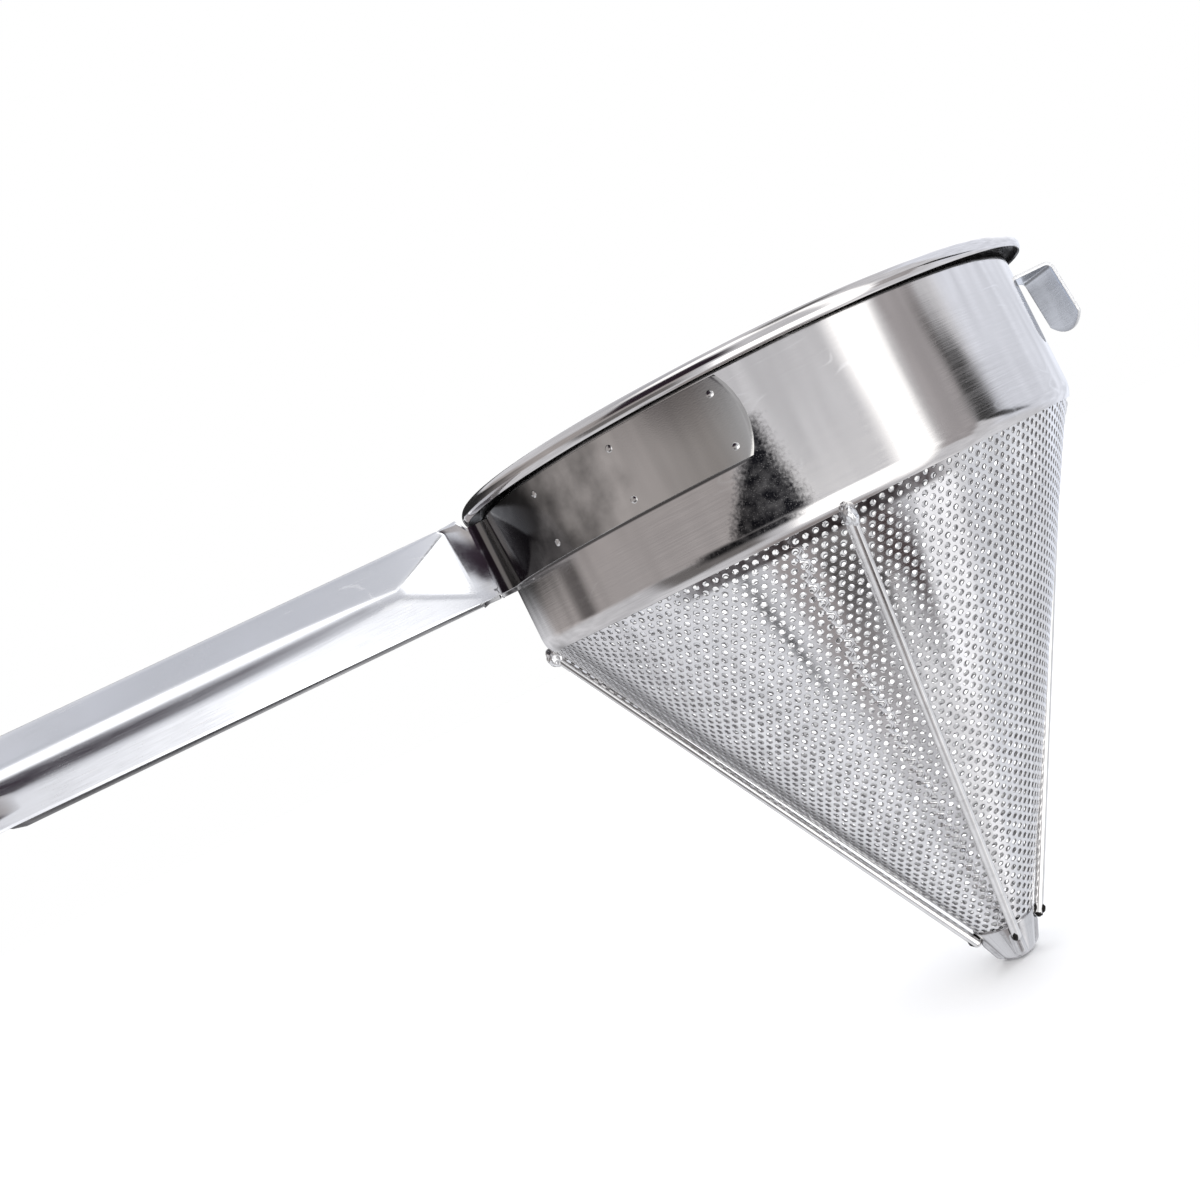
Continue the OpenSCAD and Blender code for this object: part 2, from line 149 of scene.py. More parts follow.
def finish(bm, name, nodes, material, crisp=35.0, thickness=0.0, burr=0.0,
           edge=None, back=None):
    """Turns bm into a piece that rides on the strainer and stands for CAD nodes."""
    bmesh.ops.remove_doubles(bm, verts=bm.verts, dist=1e-4)
    bmesh.ops.recalc_face_normals(bm, faces=bm.faces)
    facing = sum(f.normal.dot(f.calc_center_median() - INSIDE) * f.calc_area() for f in bm.faces)
    if facing < 0:
        bmesh.ops.reverse_faces(bm, faces=bm.faces)
    mesh = bpy.data.meshes.new(name)
    bm.to_mesh(mesh)
    bm.free()
    mesh.transform(Matrix.Scale(MM, 4))
    mesh.shade_smooth()
    mesh.set_sharp_from_angle(angle=math.radians(crisp))
    mesh.materials.append(material)
    piece = bpy.data.objects.new(name, mesh)
    bpy.context.scene.collection.objects.link(piece)
    if thickness:
        solid = piece.modifiers.new("sheet", "SOLIDIFY")
        solid.thickness = thickness * MM
        solid.offset = -1.0
        solid.use_even_offset = False
        if edge:
            mesh.materials.append(edge)
            solid.material_offset_rim = EDGE
        if back:
            mesh.materials.append(back)
            solid.material_offset = BACK
    if burr:
        round_edges(piece, burr)
    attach(piece, "root")
    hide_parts(*nodes)
    made.append(piece)
    print(name, len(mesh.polygons), "faces")
    return piece


# %% [markdown]
# Most pieces here start as a line of points, because that is how sheet and wire are
# thought of: a section that is turned, or a row that is drawn along. Spin and
# bridge_loops make the faces.

# %% Arcs, chains, turned shapes and lofted sheets


def arc(cx, cy, r, a, b, n):
    """Points on an arc from angle a to b in degrees."""
    angles = [math.radians(a + (b - a) * i / n) for i in range(n + 1)]
    return [(cx + r * math.cos(t), cy + r * math.sin(t)) for t in angles]


def chain(bm, points, closed=False):
    """Joins points with edges and returns the vertices and edges."""
    verts = [bm.verts.new(p) for p in points]
    pairs = list(zip(verts, verts[1:])) + ([(verts[-1], verts[0])] if closed else [])
    return verts, [bm.edges.new(pair) for pair in pairs]


def turned(profile, steps, closed=True):
    """A bmesh of an (r, z) profile spun once round the Z axis."""
    bm = bmesh.new()
    verts, edges = chain(bm, [(r, 0.0, z) for r, z in profile], closed)
    bmesh.ops.spin(bm, geom=verts + edges, cent=(0, 0, 0), axis=(0, 0, 1),
                   angle=math.tau, steps=steps, use_merge=True)
    return bm


def lofted(stations):
    """A bmesh of open sheet through rows of points, each row bridged to the next."""
    bm = bmesh.new()
    rows = [chain(bm, row)[1] for row in stations]
    for near, far in zip(rows, rows[1:]):
        bmesh.ops.bridge_loops(bm, edges=near + far)
    return bm


print("the rim reaches", round(arc(RIM_C, 0, RIM_R, 0, 90, 4)[0][0], 1), "mm from the axis")

# %% [markdown]
# ## Materials
#
# Polished stainless sheet is a mirror with a history: the polishing wheel leaves
# fine lines, rubbed patches are duller, and the sheet is never quite flat. All of
# that goes into roughness, a little bump and a small change of tint, on Object
# coordinates, so it stays on the metal from every side. A few short helpers wire
# the nodes, for the metals here and for the studio later.

# %% Helpers that wire nodes


class Graph:
    """Shorthand for a node tree."""

    def __init__(self, tree):
        self.nodes, self.links = tree.nodes, tree.links

    def put(self, value, socket):
        """Links a socket to a socket, or sets its value."""
        if isinstance(value, bpy.types.NodeSocket):
            self.links.new(value, socket)
        elif value is not None:
            socket.default_value = (*value, 1) if isinstance(value, tuple) else value

    def math(self, kind, a, b=None):
        op = self.nodes.new("ShaderNodeMath")
        op.operation = kind
        self.put(a, op.inputs[0])
        self.put(b, op.inputs[1])
        return op.outputs["Value"]

    def plus(self, a, b):
        return self.math("ADD", a, b)

    def minus(self, a, b):
        return self.math("SUBTRACT", a, b)

    def times(self, a, b):
        return self.math("MULTIPLY", a, b)

    def split(self, vector):
        """The X, Y and Z of a vector."""
        apart = self.nodes.new("ShaderNodeSeparateXYZ")
        self.put(vector, apart.inputs["Vector"])
        return [apart.outputs[axis] for axis in "XYZ"]

    def spread(self, value, low, high, to_low=0.0, to_high=1.0, smooth=False):
        """Moves a range of values to another, clamped at both ends."""
        ramp = self.nodes.new("ShaderNodeMapRange")
        ramp.interpolation_type = "SMOOTHSTEP" if smooth else "LINEAR"
        ends = {"From Min": low, "From Max": high, "To Min": to_low, "To Max": to_high}
        for name, number in ends.items():
            self.put(number, ramp.inputs[name])
        self.put(value, ramp.inputs["Value"])
        return ramp.outputs["Result"]

    def between(self, value, low, high, soft):
        """1 where the value lies between low and high, with soft borders."""
        return self.times(self.spread(value, low - soft, low + soft, smooth=True),
                          self.spread(value, high - soft, high + soft, 1.0, 0.0, smooth=True))

    def mix(self, a, b, share):
        blend = self.nodes.new("ShaderNodeMix")
        blend.data_type = "RGBA"
        self.put(a, blend.inputs["A"])
        self.put(b, blend.inputs["B"])
        self.put(share, blend.inputs["Factor"])
        return blend.outputs["Result"]

    def noise(self, at, scale, detail, stretch=(1, 1, 1), seed=0.0):
        place = self.nodes.new("ShaderNodeMapping")
        place.inputs["Location"].default_value = (seed, seed * 0.7, -seed)
        place.inputs["Scale"].default_value = stretch
        self.put(at, place.inputs["Vector"])
        tex = self.nodes.new("ShaderNodeTexNoise")
        tex.inputs["Scale"].default_value = scale
        tex.inputs["Detail"].default_value = detail
        self.put(place.outputs["Vector"], tex.inputs["Vector"])
        return tex.outputs["Fac"]

    def turn(self, x, y):
        """Degrees round the axis from the front, positive to the right."""
        angle = self.math("ARCTAN2", x, self.times(y, -1.0))
        return self.times(angle, math.degrees(1))


# %% [markdown]
# ### The steel recipe
#
# Every metal here is one recipe with its own tint and roughness. Stretched noise
# gives the polishing lines, fine noise the specks, wide noise the clouding and the
# shallow dents. A scratch is the thin line where a slanted noise crosses its middle
# value, kept only in scuffed places. A second helper lays another finish over a steel
# where a mask says so: a polished wing's tint, painted dark reflections, painted
# shadow and painted shade.

# %% A polished steel recipe
AROUND, ALONG_X, SLANT = (0.02, 0.02, 1.0), (0.015, 1.0, 1.0), (0.10, 0.12, 0.30)
LINE_SCALE, SPECK_SCALE, SCRATCH_SCALE, SCUFF_SCALE, DENT_SCALE = 2600.0, 1500.0, 240.0, 45.0, 14.0
NOISE, CLOUDED, SPECKED, SCUFFED = (0.3, 0.7), (0.40, 0.62), (0.60, 0.72), (0.54, 0.62)
LINE_DEPTH, DENT_DEPTH = 0.0000015, 0.02
SCRATCH_WIDTH, SCRATCH_GLOSS, BRIGHT = 0.012, 0.25, (0.98, 0.98, 0.98)
DULLED = 0.88


def steel(name, tint, rough, cloud=18.0, lines=AROUND, line_gloss=0.05, dent=0.05, speck=0.04,
          scratches=0.0):
    """Steel with clouded patches, polishing lines, specks, scratches and soft dents."""
    mat = bpy.data.materials.new(name)
    mat.use_nodes = True
    g = Graph(mat.node_tree)
    shader = g.nodes["Principled BSDF"]
    shader.inputs["Metallic"].default_value = 1.0
    at = g.nodes.new("ShaderNodeTexCoord").outputs["Object"]
    clouds = g.spread(g.noise(at, cloud, 4.0, seed=3.1), *CLOUDED)
    streaks = g.noise(at, LINE_SCALE, 1.0, lines, seed=1.7)
    specks = g.spread(g.noise(at, SPECK_SCALE, 2.0, seed=8.3), *SPECKED)
    gloss = g.plus(g.spread(clouds, 0, 1, *rough), g.spread(streaks, *NOISE, 0.0, line_gloss))
    gloss = g.plus(gloss, g.spread(specks, 0, 1, 0.0, speck))
    off_line = g.math("ABSOLUTE", g.minus(g.noise(at, SCRATCH_SCALE, 1.0, SLANT, seed=6.2), 0.5))
    scuffed = g.spread(g.noise(at, SCUFF_SCALE, 2.0, seed=4.4), *SCUFFED)
    scratch = g.times(g.spread(off_line, 0.0, SCRATCH_WIDTH, scratches, 0.0), scuffed)
    gloss = g.plus(gloss, g.times(scratch, SCRATCH_GLOSS))
    dull = tuple(c * DULLED for c in tint)
    colour = g.mix(tint, dull, g.times(clouds, g.spread(streaks, *NOISE, 0.5, 1.0)))
    colour = g.mix(colour, BRIGHT, scratch)
    dents = g.spread(g.noise(at, DENT_SCALE, 1.0, seed=5.5), 0, 1, 0.0, dent * DENT_DEPTH)
    bump = g.nodes.new("ShaderNodeBump")
    bump.inputs["Distance"].default_value = 1.0
    g.put(g.plus(g.spread(streaks, *NOISE, 0.0, LINE_DEPTH), dents), bump.inputs["Height"])
    g.put(bump.outputs["Normal"], shader.inputs["Normal"])
    g.put(gloss, shader.inputs["Roughness"])
    g.put(colour, shader.inputs["Base Color"])
    return mat, g, at, gloss, colour


# %% A finish that covers part of a steel


def cover(made_steel, share, colour, rough):
    """Lays another finish over a steel where the share is 1, and returns the colour."""
    g, gloss, old = made_steel[1], made_steel[3], made_steel[4]
    shader = g.nodes["Principled BSDF"]
    covered = g.mix(old, colour, share)
    g.put(covered, shader.inputs["Base Color"])
    kept = g.times(gloss, g.minus(1.0, share))
    g.put(g.plus(kept, g.times(share, rough)), shader.inputs["Roughness"])
    return covered


# %% [markdown]
# ### The collar's steel
#
# The collar is polished bright. A speckled black patch beside the wing's end, which
# tapers upwards and runs into a drip at the lip, is a painted dark reflection, and a
# dark line in the joint under the wing's lower edge is a painted shadow. Marks on a
# sheet have no shape, so they are masks on Object coordinates: the turn round the
# axis and the height, frayed by noise. Turns are in degrees and heights in metres.

# %% The collar's steel
band_made = steel("band_steel", (0.72, 0.70, 0.69), (0.05, 0.12), dent=0.04, scratches=0.22)
band_steel, g, at = band_made[:3]
x, y, z = g.split(at)
around = g.turn(x, y)
print(band_steel.name)

# %% The painted dark reflection and its drip
REFLECTION_MID_Z, REFLECTION_HEIGHTS, DRIP_HEIGHTS = -0.038, (-0.0572, -0.021), (-0.0592, -0.0566)
LEFT_TURNS, RIGHT_TURNS, DRIP_TURNS = (-19.5, -16.0), (-12.5, -8.5), (-30.0, -12.0)
LEFT_LEAN, RIGHT_LEAN = 300.0, 60.0
FRAY_SCALE, FRAY_TURN = 900.0, 4.0
frayed = g.times(g.minus(g.noise(at, FRAY_SCALE, 8.0), 0.5), FRAY_TURN)
sideways = g.plus(around, frayed)
upwards = g.minus(z, REFLECTION_MID_Z)
left_side = g.minus(sideways, g.times(upwards, LEFT_LEAN))
right_side = g.plus(sideways, g.times(upwards, RIGHT_LEAN))
# The patch and its drip are a painted dark reflection in the collar's colour.
band_reflection = g.times(g.spread(left_side, *LEFT_TURNS, smooth=True),
                g.spread(right_side, *RIGHT_TURNS, 1.0, 0.0, smooth=True))
band_reflection = g.times(band_reflection, g.between(z, *REFLECTION_HEIGHTS, 0.0012))
reflection_drip = g.times(g.between(sideways, *DRIP_TURNS, 3.0), g.between(z, *DRIP_HEIGHTS, 0.0008))
print("band_reflection", round((REFLECTION_HEIGHTS[1] - REFLECTION_HEIGHTS[0]) / MM, 1), "mm high")

# %% Its mottling, the painted shadow in the joint, and both on the steel
WING_TURNS, JOINT_SHADOW_HEIGHTS, JOINT_SHADOW_SHARE = (-78.0, -13.6), (-0.0348, -0.0337), 0.8
# One near-black colour paints both: painted reflection in the patch, painted shadow in the joint.
PAINTED_DARK, PAINTED_DARK_ROUGH = (0.012, 0.012, 0.015), 0.30
MOTTLE_SCALE, GRAIN_SCALE = 260.0, 2300.0
mottle = g.times(g.spread(g.noise(at, MOTTLE_SCALE, 5.0, seed=2.0), 0.40, 0.70, 1.0, 0.84),
                 g.spread(g.noise(at, GRAIN_SCALE, 2.0, seed=5.0), *SPECKED, 1.0, 0.72))
# Painted shadow: a dark line in the joint under the wing's lower edge.
joint_shadow = g.times(g.between(around, *WING_TURNS, 0.6), g.between(z, *JOINT_SHADOW_HEIGHTS, 0.0003))
painted_dark = g.math("MAXIMUM", g.times(g.math("MAXIMUM", band_reflection, reflection_drip), mottle),
               g.times(joint_shadow, JOINT_SHADOW_SHARE))
cover(band_made, painted_dark, PAINTED_DARK, PAINTED_DARK_ROUGH)
print(len(g.nodes), "nodes in", band_steel.name)

# %% [markdown]
# ### The handle's steel
#
# The channel has a satin finish along its length, and the wings are polished, so a
# cover with the wing's tint starts at the bend. The tint darkens towards the wing's
# end. The start of the wing is painted dark, a painted reflection of something dark,
# and the dark fades along the wing in a wavy front.

# %% Satin channel and polished wings
handle_made = steel("handle_steel", (0.86, 0.87, 0.90), (0.14, 0.21), lines=ALONG_X,
                    line_gloss=0.08, dent=0.02, scratches=0.35)
handle_steel, g, at = handle_made[:3]
x = g.split(at)[0]
WING_NEAR, WING_FAR, WING_ROUGH = (0.72, 0.705, 0.69), (0.47, 0.46, 0.445), 0.09
POLISH_FROM, DARKER_FROM = (-0.131, -0.122), (-0.075, -0.034)
ragged = g.plus(x, g.spread(g.noise(at, 160.0, 3.0), *NOISE, -0.004, 0.004))
polished = g.spread(ragged, *POLISH_FROM)
wing_tint = g.mix(WING_NEAR, WING_FAR, g.spread(x, *DARKER_FROM, smooth=True))
wing_colour = cover(handle_made, polished, wing_tint, WING_ROUGH)
print(handle_steel.name)

# %% The painted dark reflection at the start of the wing
# A near-black painted reflection at the wing's start, fading along the wing.
WING_DARK, REFLECTION_FROM, REFLECTION_FADES = (0.02, 0.019, 0.02), (-0.1262, -0.1252), (-0.112, -0.066)
FULL_FROM, LESS_AT_BEND = (-0.1216, -0.1208), 0.68
wavy = g.plus(x, g.spread(g.noise(at, 60.0, 4.0), *NOISE, -0.010, 0.010))
at_bend = g.times(g.spread(x, *REFLECTION_FROM), g.spread(x, *FULL_FROM, LESS_AT_BEND, 1.0))
wing_reflection = g.times(at_bend, g.spread(wavy, *REFLECTION_FADES, 0.97, 0.0, smooth=True))
g.put(g.mix(wing_colour, WING_DARK, wing_reflection), g.nodes["Principled BSDF"].inputs["Base Color"])
print(len(g.nodes), "nodes in", handle_steel.name)

# %% [markdown]
# ### The sieve's steels
#
# The punched sheet is bright outside and greyer in its hole walls. Its inside is
# satin with a brighter tint, painted light for the light that enters the cone and
# comes back out of the holes. The corner under the lip is darkened as painted shade,
# on the side that the photograph shows.

# %% Bright sheet with painted shade under the lip
sieve_made = steel("sieve_steel", (0.80, 0.795, 0.80), (0.06, 0.12), cloud=30.0, dent=0.03)
sieve_steel, g, at = sieve_made[:3]
x, y, z = g.split(at)
# Painted shade: the corner under the lip is darkened in the sheet's colour.
LIP_SHADE, LIP_SHADE_ROUGH = (0.045, 0.030, 0.032), 0.20
SHADE_HEIGHTS, SHADE_TURNS = (-0.0688, -0.0600), (-36.0, 15.0)
corner = g.times(g.between(z, *SHADE_HEIGHTS, 0.0010),
                 g.between(g.turn(x, y), *SHADE_TURNS, 5.0))
uneven = g.spread(g.noise(at, 240.0, 4.0, seed=3.0), 0.35, 0.65, 0.95, 0.72)
cover(sieve_made, g.times(corner, uneven), LIP_SHADE, LIP_SHADE_ROUGH)
punched_steel = steel("punched_steel", (0.34, 0.335, 0.34), (0.30, 0.45), cloud=300.0, dent=0.0)[0]
# The inside's brighter tint is painted light.
lit_inner_steel = steel("lit_inner_steel", (0.97, 0.97, 0.97), (0.36, 0.46), cloud=30.0, dent=0.0)[0]
print(sieve_steel.name, punched_steel.name, lit_inner_steel.name)

# %% [markdown]
# ### The small pieces' steels
#
# Cut edges are bright and scratched, their tint raised partly as a painted highlight.
# The inside of the channel is dull and darkened as painted shade, wires are drawn and
# shine, and weld beads are bright metal, while the tacks at the wires' ends are
# painted black as painted shadow. The inside of the collar's roll gets painted shade.
# The clouding is finer on a small piece, so that it still shows.

# %% Edges, wires, welds and painted shade
# The cut edges' near-white tint is partly a painted highlight.
edge_highlight_steel = steel("edge_highlight_steel", (0.98, 0.98, 0.98), (0.35, 0.50), dent=0.0)[0]
# The dark tint inside the channel is painted shade.
channel_shade_steel = steel("channel_shade_steel", (0.34, 0.34, 0.35), (0.25, 0.38), lines=ALONG_X, dent=0.0)[0]
cap_steel = steel("cap_steel", (0.64, 0.635, 0.64), (0.10, 0.20), cloud=120.0, dent=0.004)[0]
wire_steel = steel("wire_steel", (0.82, 0.81, 0.80), (0.05, 0.12), cloud=150.0, dent=0.004)[0]
hook_steel = steel("hook_steel", (0.74, 0.77, 0.82), (0.20, 0.26), cloud=60.0, dent=0.01)[0]
weld_steel = steel("weld_steel", (0.90, 0.90, 0.90), (0.12, 0.40), cloud=420.0, speck=0.2,
                   dent=0.0)[0]
spot_steel = steel("spot_steel", (0.70, 0.69, 0.68), (0.05, 0.14), cloud=420.0, dent=0.0)[0]
# Near-black for the tacks at the wires' ends: painted shadow.
tack_shadow_steel = steel("tack_shadow_steel", (0.03, 0.028, 0.026), (0.40, 0.65), cloud=500.0, dent=0.0)[0]
# Near-black for the inside of the collar's roll: painted shade.
roll_shade_steel = steel("roll_shade_steel", (0.10, 0.10, 0.10), (0.35, 0.55), cloud=90.0, dent=0.0)[0]
print(len(bpy.data.materials), "materials")

# %% [markdown]
# ## Collar
#
# The collar is one strip of sheet: rolled out over the rim, straight down the wall,
# and turned in at the lip. Its section could be swept along a circle, but one spin
# of a closed section gives both faces and the rolled edge at once.

# %% Spin the collar
RIM_END = -40.0
lip_end = -math.degrees(HALF_ANGLE)
section = arc(RIM_C, 0, RIM_R, RIM_END, 180, 40)
section += arc(LIP_C, -BAND_H, LIP_R - BAND_T, 0, lip_end, 10)
section += arc(LIP_C, -BAND_H, LIP_R, lip_end, 0, 10)
section += arc(RIM_C, 0, RIM_R - BAND_T, 180, RIM_END, 36)
collar = finish(turned(section, 256), "collar", ["collar_band"], band_steel,
                burr=0.25)

# %% Darken the inside of the roll as painted shade
ROLL_MID = (RIM_R - BAND_T / 2) * MM
ROLL_START = (BAND_R - 0.3) * MM
collar.data.materials.append(roll_shade_steel)
shaded_roll_faces = 0
# Painted shade: the faces inside the roll take a near-black steel.
for face in collar.data.polygons:
    r = math.hypot(face.center.x, face.center.y)
    if math.hypot(r - RIM_C * MM, face.center.z) < ROLL_MID and r > ROLL_START:
        face.material_index = 1
        shaded_roll_faces += 1
print(shaded_roll_faces, "faces inside the roll")

# %% [markdown]
# ## Sieve
#
# The sheet is punched flat on a triangular grid and then rolled. One hole with its
# share of the sheet is a ring of faces between a circle and a hexagon. Copies of it
# tile the fan-shaped blank, the seams between them are merged, and the blank is
# bent to the cone. The grid's pitch and turn are those of the real sheet. Cells at
# the blank's edges have no hole. The blank is kept as six panels, so that no mesh
# grows too large, and Solidify gives the bent sheet its thickness at the end.

# %% One cell of the punched sheet
HOLE_R = 1.15
PITCH = 3.9
GRID_TURN = math.radians(-2.8)
SEAM_AT = math.radians(135.0)
FLANGE_S = SEAT_R * HALF_ANGLE
UNDER_CAP = 0.35
SHEET_END = CAP_S + UNDER_CAP * CAP_H / math.cos(HALF_ANGLE)
HOLE_STEPS = 12
RIM_WIDTH = 0.22
DIMPLE = 0.10
ROW_STEP = PITCH * math.sin(math.radians(60))
print("open area of the sheet:", round(100 * math.pi * HOLE_R ** 2 / (PITCH * ROW_STEP)), "%")


def punched_cell(hole=True):
    """A hexagon of flat sheet with a punched hole, whose edge is drawn in a little."""
    bm = bmesh.new()
    bmesh.ops.create_circle(bm, cap_ends=True, segments=HOLE_STEPS, radius=1.0)
    face = bm.faces[:][0]
    for v in bm.verts:
        at_corner = round(math.degrees(math.atan2(v.co.y, v.co.x)) / 30) % 2
        v.co *= PITCH / math.sqrt(3) if at_corner else PITCH / 2
    for radius, depth in ((HOLE_R + RIM_WIDTH, 0.0), (HOLE_R, -DIMPLE)) if hole else ():
        bmesh.ops.inset_individual(bm, faces=[face], thickness=0.1)
        for v in face.verts:
            v.co = Vector((v.co.x, v.co.y, 0)).normalized() * radius + Vector((0, 0, depth))
    if hole:
        bmesh.ops.delete(bm, geom=[face], context="FACES_ONLY")
    cell = bpy.data.meshes.new("cell")
    bm.to_mesh(cell)
    bm.free()
    return cell


# %% From the flat blank to the rolled cone


def bend(co):
    """Takes a point of the flat blank to its place on the rolled cone."""
    rho = math.hypot(co.x, co.y)
    angle = math.atan2(co.y, co.x)
    s = APEX_S - rho
    around = SEAM_AT + math.pi + angle / math.sin(HALF_ANGLE)
    if s >= 0:
        r, z = on_cone(s, co.z)
    else:
        lean = HALF_ANGLE * (1 + max(s, -FLANGE_S) / FLANGE_S)
        r = LIP_C + (SEAT_R + co.z) * math.cos(lean)
        z = -BAND_H - (SEAT_R + co.z) * math.sin(lean)
    return Vector((r * math.cos(around), r * math.sin(around), z))


print("the blank's middle meets the lip at", [round(c, 1) for c in bend(Vector((APEX_S, 0, 0)))])

# %% The blank's grid and its panels
FAN_HALF = math.pi * math.sin(HALF_ANGLE)
EDGE_ROOM = 0.62 * PITCH
RHO_TOP = APEX_S + FLANGE_S
RHO_END = APEX_S - SHEET_END
PANELS = 6


def cell_centres():
    """Grid points of the blank, with the panel that each belongs to."""
    reach = int(RHO_TOP / ROW_STEP) + 2
    for i in range(-2 * reach, 2 * reach + 1):
        for j in range(-reach, reach + 1):
            u, v = PITCH * (i + j / 2), ROW_STEP * j
            x = u * math.cos(GRID_TURN) - v * math.sin(GRID_TURN)
            y = u * math.sin(GRID_TURN) + v * math.cos(GRID_TURN)
            rho, angle = math.hypot(x, y), math.atan2(y, x)
            if RHO_END - PITCH < rho < RHO_TOP + PITCH and abs(angle) < FAN_HALF + PITCH / rho:
                share = (angle + FAN_HALF) / (2 * FAN_HALF)
                panel = min(max(int(share * PANELS), 0), PANELS - 1)
                room = min(rho - RHO_END, RHO_TOP - rho, (FAN_HALF - abs(angle)) * rho)
                yield Vector((x, y, 0)), panel, room > EDGE_ROOM


# %% Tile the blank
cells = {True: punched_cell(), False: punched_cell(hole=False)}
cell_at = {True: Vector((0, 0, 0)), False: Vector((0, 0, 0))}
for cell in cells.values():
    cell.transform(Matrix.Rotation(GRID_TURN, 4, "Z"))
panels = [bmesh.new() for _ in range(PANELS)]
holes = 0
for centre, panel, punched in cell_centres():
    cells[punched].transform(Matrix.Translation(centre - cell_at[punched]))
    cell_at[punched] = centre
    panels[panel].from_mesh(cells[punched])
    holes += punched
print(holes, "holes")

# %% Bend the panels to the cone
for k, bm in enumerate(panels):
    bmesh.ops.remove_doubles(bm, verts=bm.verts, dist=0.01)
    for v in bm.verts:
        rho, angle = math.hypot(v.co.x, v.co.y), math.atan2(v.co.y, v.co.x)
        rho = min(max(rho, RHO_END), RHO_TOP)
        angle = min(max(angle, -FAN_HALF), FAN_HALF)
        v.co = bend(Vector((rho * math.cos(angle), rho * math.sin(angle), v.co.z)))
    bmesh.ops.dissolve_degenerate(bm, dist=0.02, edges=bm.edges)
    finish(bm, f"sieve_panel_{k}", ["perforated_cone"], sieve_steel,
           crisp=20, thickness=CONE_T, edge=punched_steel, back=lit_inner_steel)

# %% [markdown]
# ## Handle
#
# The handle is one folded sheet: a channel with a roof ridge whose side walls open
# into two wings that hug the collar. Near the collar each crease splits in two like
# the letter Y, with a flat facet between the branches. Rows of points across the
# near half, from the ridge to the lower edge, are bridged one after another and
# then mirrored. A fold in sheet metal is never sharp, so each corner of a row is
# rounded, and each flat beside it keeps a few support points that hold it flat. The
# crease's curve is tight at the Y and grows wider towards the free end.

# %% The handle's sizes
HANDLE_T = 1.2
HANDLE_END = -350.0
FOLD_X = -162.5
BEND_X = -126.5
HALF_W, START_HALF_W, END_HALF_W = 17.6, 18.5, 24.0
START_RISE, RISE = 0.3, 2.0
RIDGE_Z, CREASE_Z, WING_TOP, WING_LOW = 1.5, -16.4, -3.6, -33.8
WING_R = BAND_R + SEAT + HANDLE_T
WING_END = math.radians(78.0)
END_ARC = 28.6
EAVES_Y, LOW_IN, ABOVE_IN, CREASE_HALF = 2.5, 0.8, 0.6, 1.5
RIDGE_SOFT, FOLD_SOFT, CREASE_SPREAD, UP_SPREAD = 2.4, 1.3, 1.7, 2.4
CREASE_REACH = 0.475
ON_FLAT = (0.12, 0.31, 0.5, 0.69, 0.88)
print("wings reach", round(math.degrees(WING_END)), "degrees round the collar")

# %% Rows with soft folds


def curve(a, corner, b, steps):
    """Points of a soft corner between two flats."""
    shares = [i / steps for i in range(steps + 1)]
    return [a * (1 - t) ** 2 + corner * 2 * t * (1 - t) + b * t * t for t in shares]


def soft_row(corners, reaches, steps=5):
    """A row of points along corners, each inner corner rounded by its own reach."""
    row, left = [corners[0]], corners[0]
    for before, here, after, reach in zip(corners, corners[1:], corners[2:], reaches):
        a = here + (before - here).normalized() * reach
        b = here + (after - here).normalized() * reach
        row += [left.lerp(a, t) for t in ON_FLAT] + curve(a, here, b, steps)
        left = b
    return row + [left.lerp(corners[-1], t) for t in ON_FLAT] + [corners[-1]]


# %% Rows of the channel


def channel_corners(x, half, lift, spread=0.0):
    """Ridge, crease and lower edge of the near half. Spread widens the crease's curve."""
    eaves = Vector((x, -EAVES_Y, RIDGE_Z + lift))
    low = Vector((x, LOW_IN - half, WING_LOW + lift))
    above = Vector((x, ABOVE_IN - half, CREASE_Z + CREASE_HALF + lift))
    below = Vector((x, -half, CREASE_Z - CREASE_HALF + lift))
    above += (eaves - above).normalized() * spread * UP_SPREAD
    below += (low - below).normalized() * spread
    return [Vector((x, 0, RIDGE_Z + lift)), eaves, above, below, low]


def channel_row(x):
    """One row of the plain channel, wider and higher towards the free end."""
    t = (x - FOLD_X) / (HANDLE_END - FOLD_X)
    spread = CREASE_SPREAD * (1 - (1 - t) ** 3)
    half = START_HALF_W + (END_HALF_W - START_HALF_W) * t
    corners = channel_corners(x, half, START_RISE + (RISE - START_RISE) * t, spread)
    soft = CREASE_REACH * (corners[2] - corners[3]).length
    return soft_row(corners, (RIDGE_SOFT, soft, soft))


print(len(channel_row(FOLD_X)), "points in a row")

# %% The channel and its rounded lower corners
END_CORNER = 12.0
CHANNEL_ROWS = 12
FIRST_ROW = 0.08


def end_row():
    """The free end's row, drawn back round its lower corner."""
    row = channel_row(HANDLE_END)
    for p in row:
        rise = WING_LOW + RISE + END_CORNER - p.z
        if rise > 0:
            p.x += END_CORNER - math.sqrt(max(END_CORNER ** 2 - rise ** 2, 0))
    return row


channel = [end_row()]
for k in range(CHANNEL_ROWS + 1):
    t = FIRST_ROW + (1 - FIRST_ROW) * k / CHANNEL_ROWS
    channel.append(channel_row(HANDLE_END + (FOLD_X - HANDLE_END) * t))
print(len(channel), "rows of channel")

# %% [markdown]
# ### The Y fold and the wing
#
# The fold's rows run from the split of the crease to the far edge of the flat facet,
# corner by corner. After the facet the sheet is a flat strip that stays as high as
# the ridge and ducks under the collar's rim. It then bends round and hugs the wall,
# and the wing ends in a wide arc. Both bends are arcs that touch the flats, so the
# reflections run on without a break.

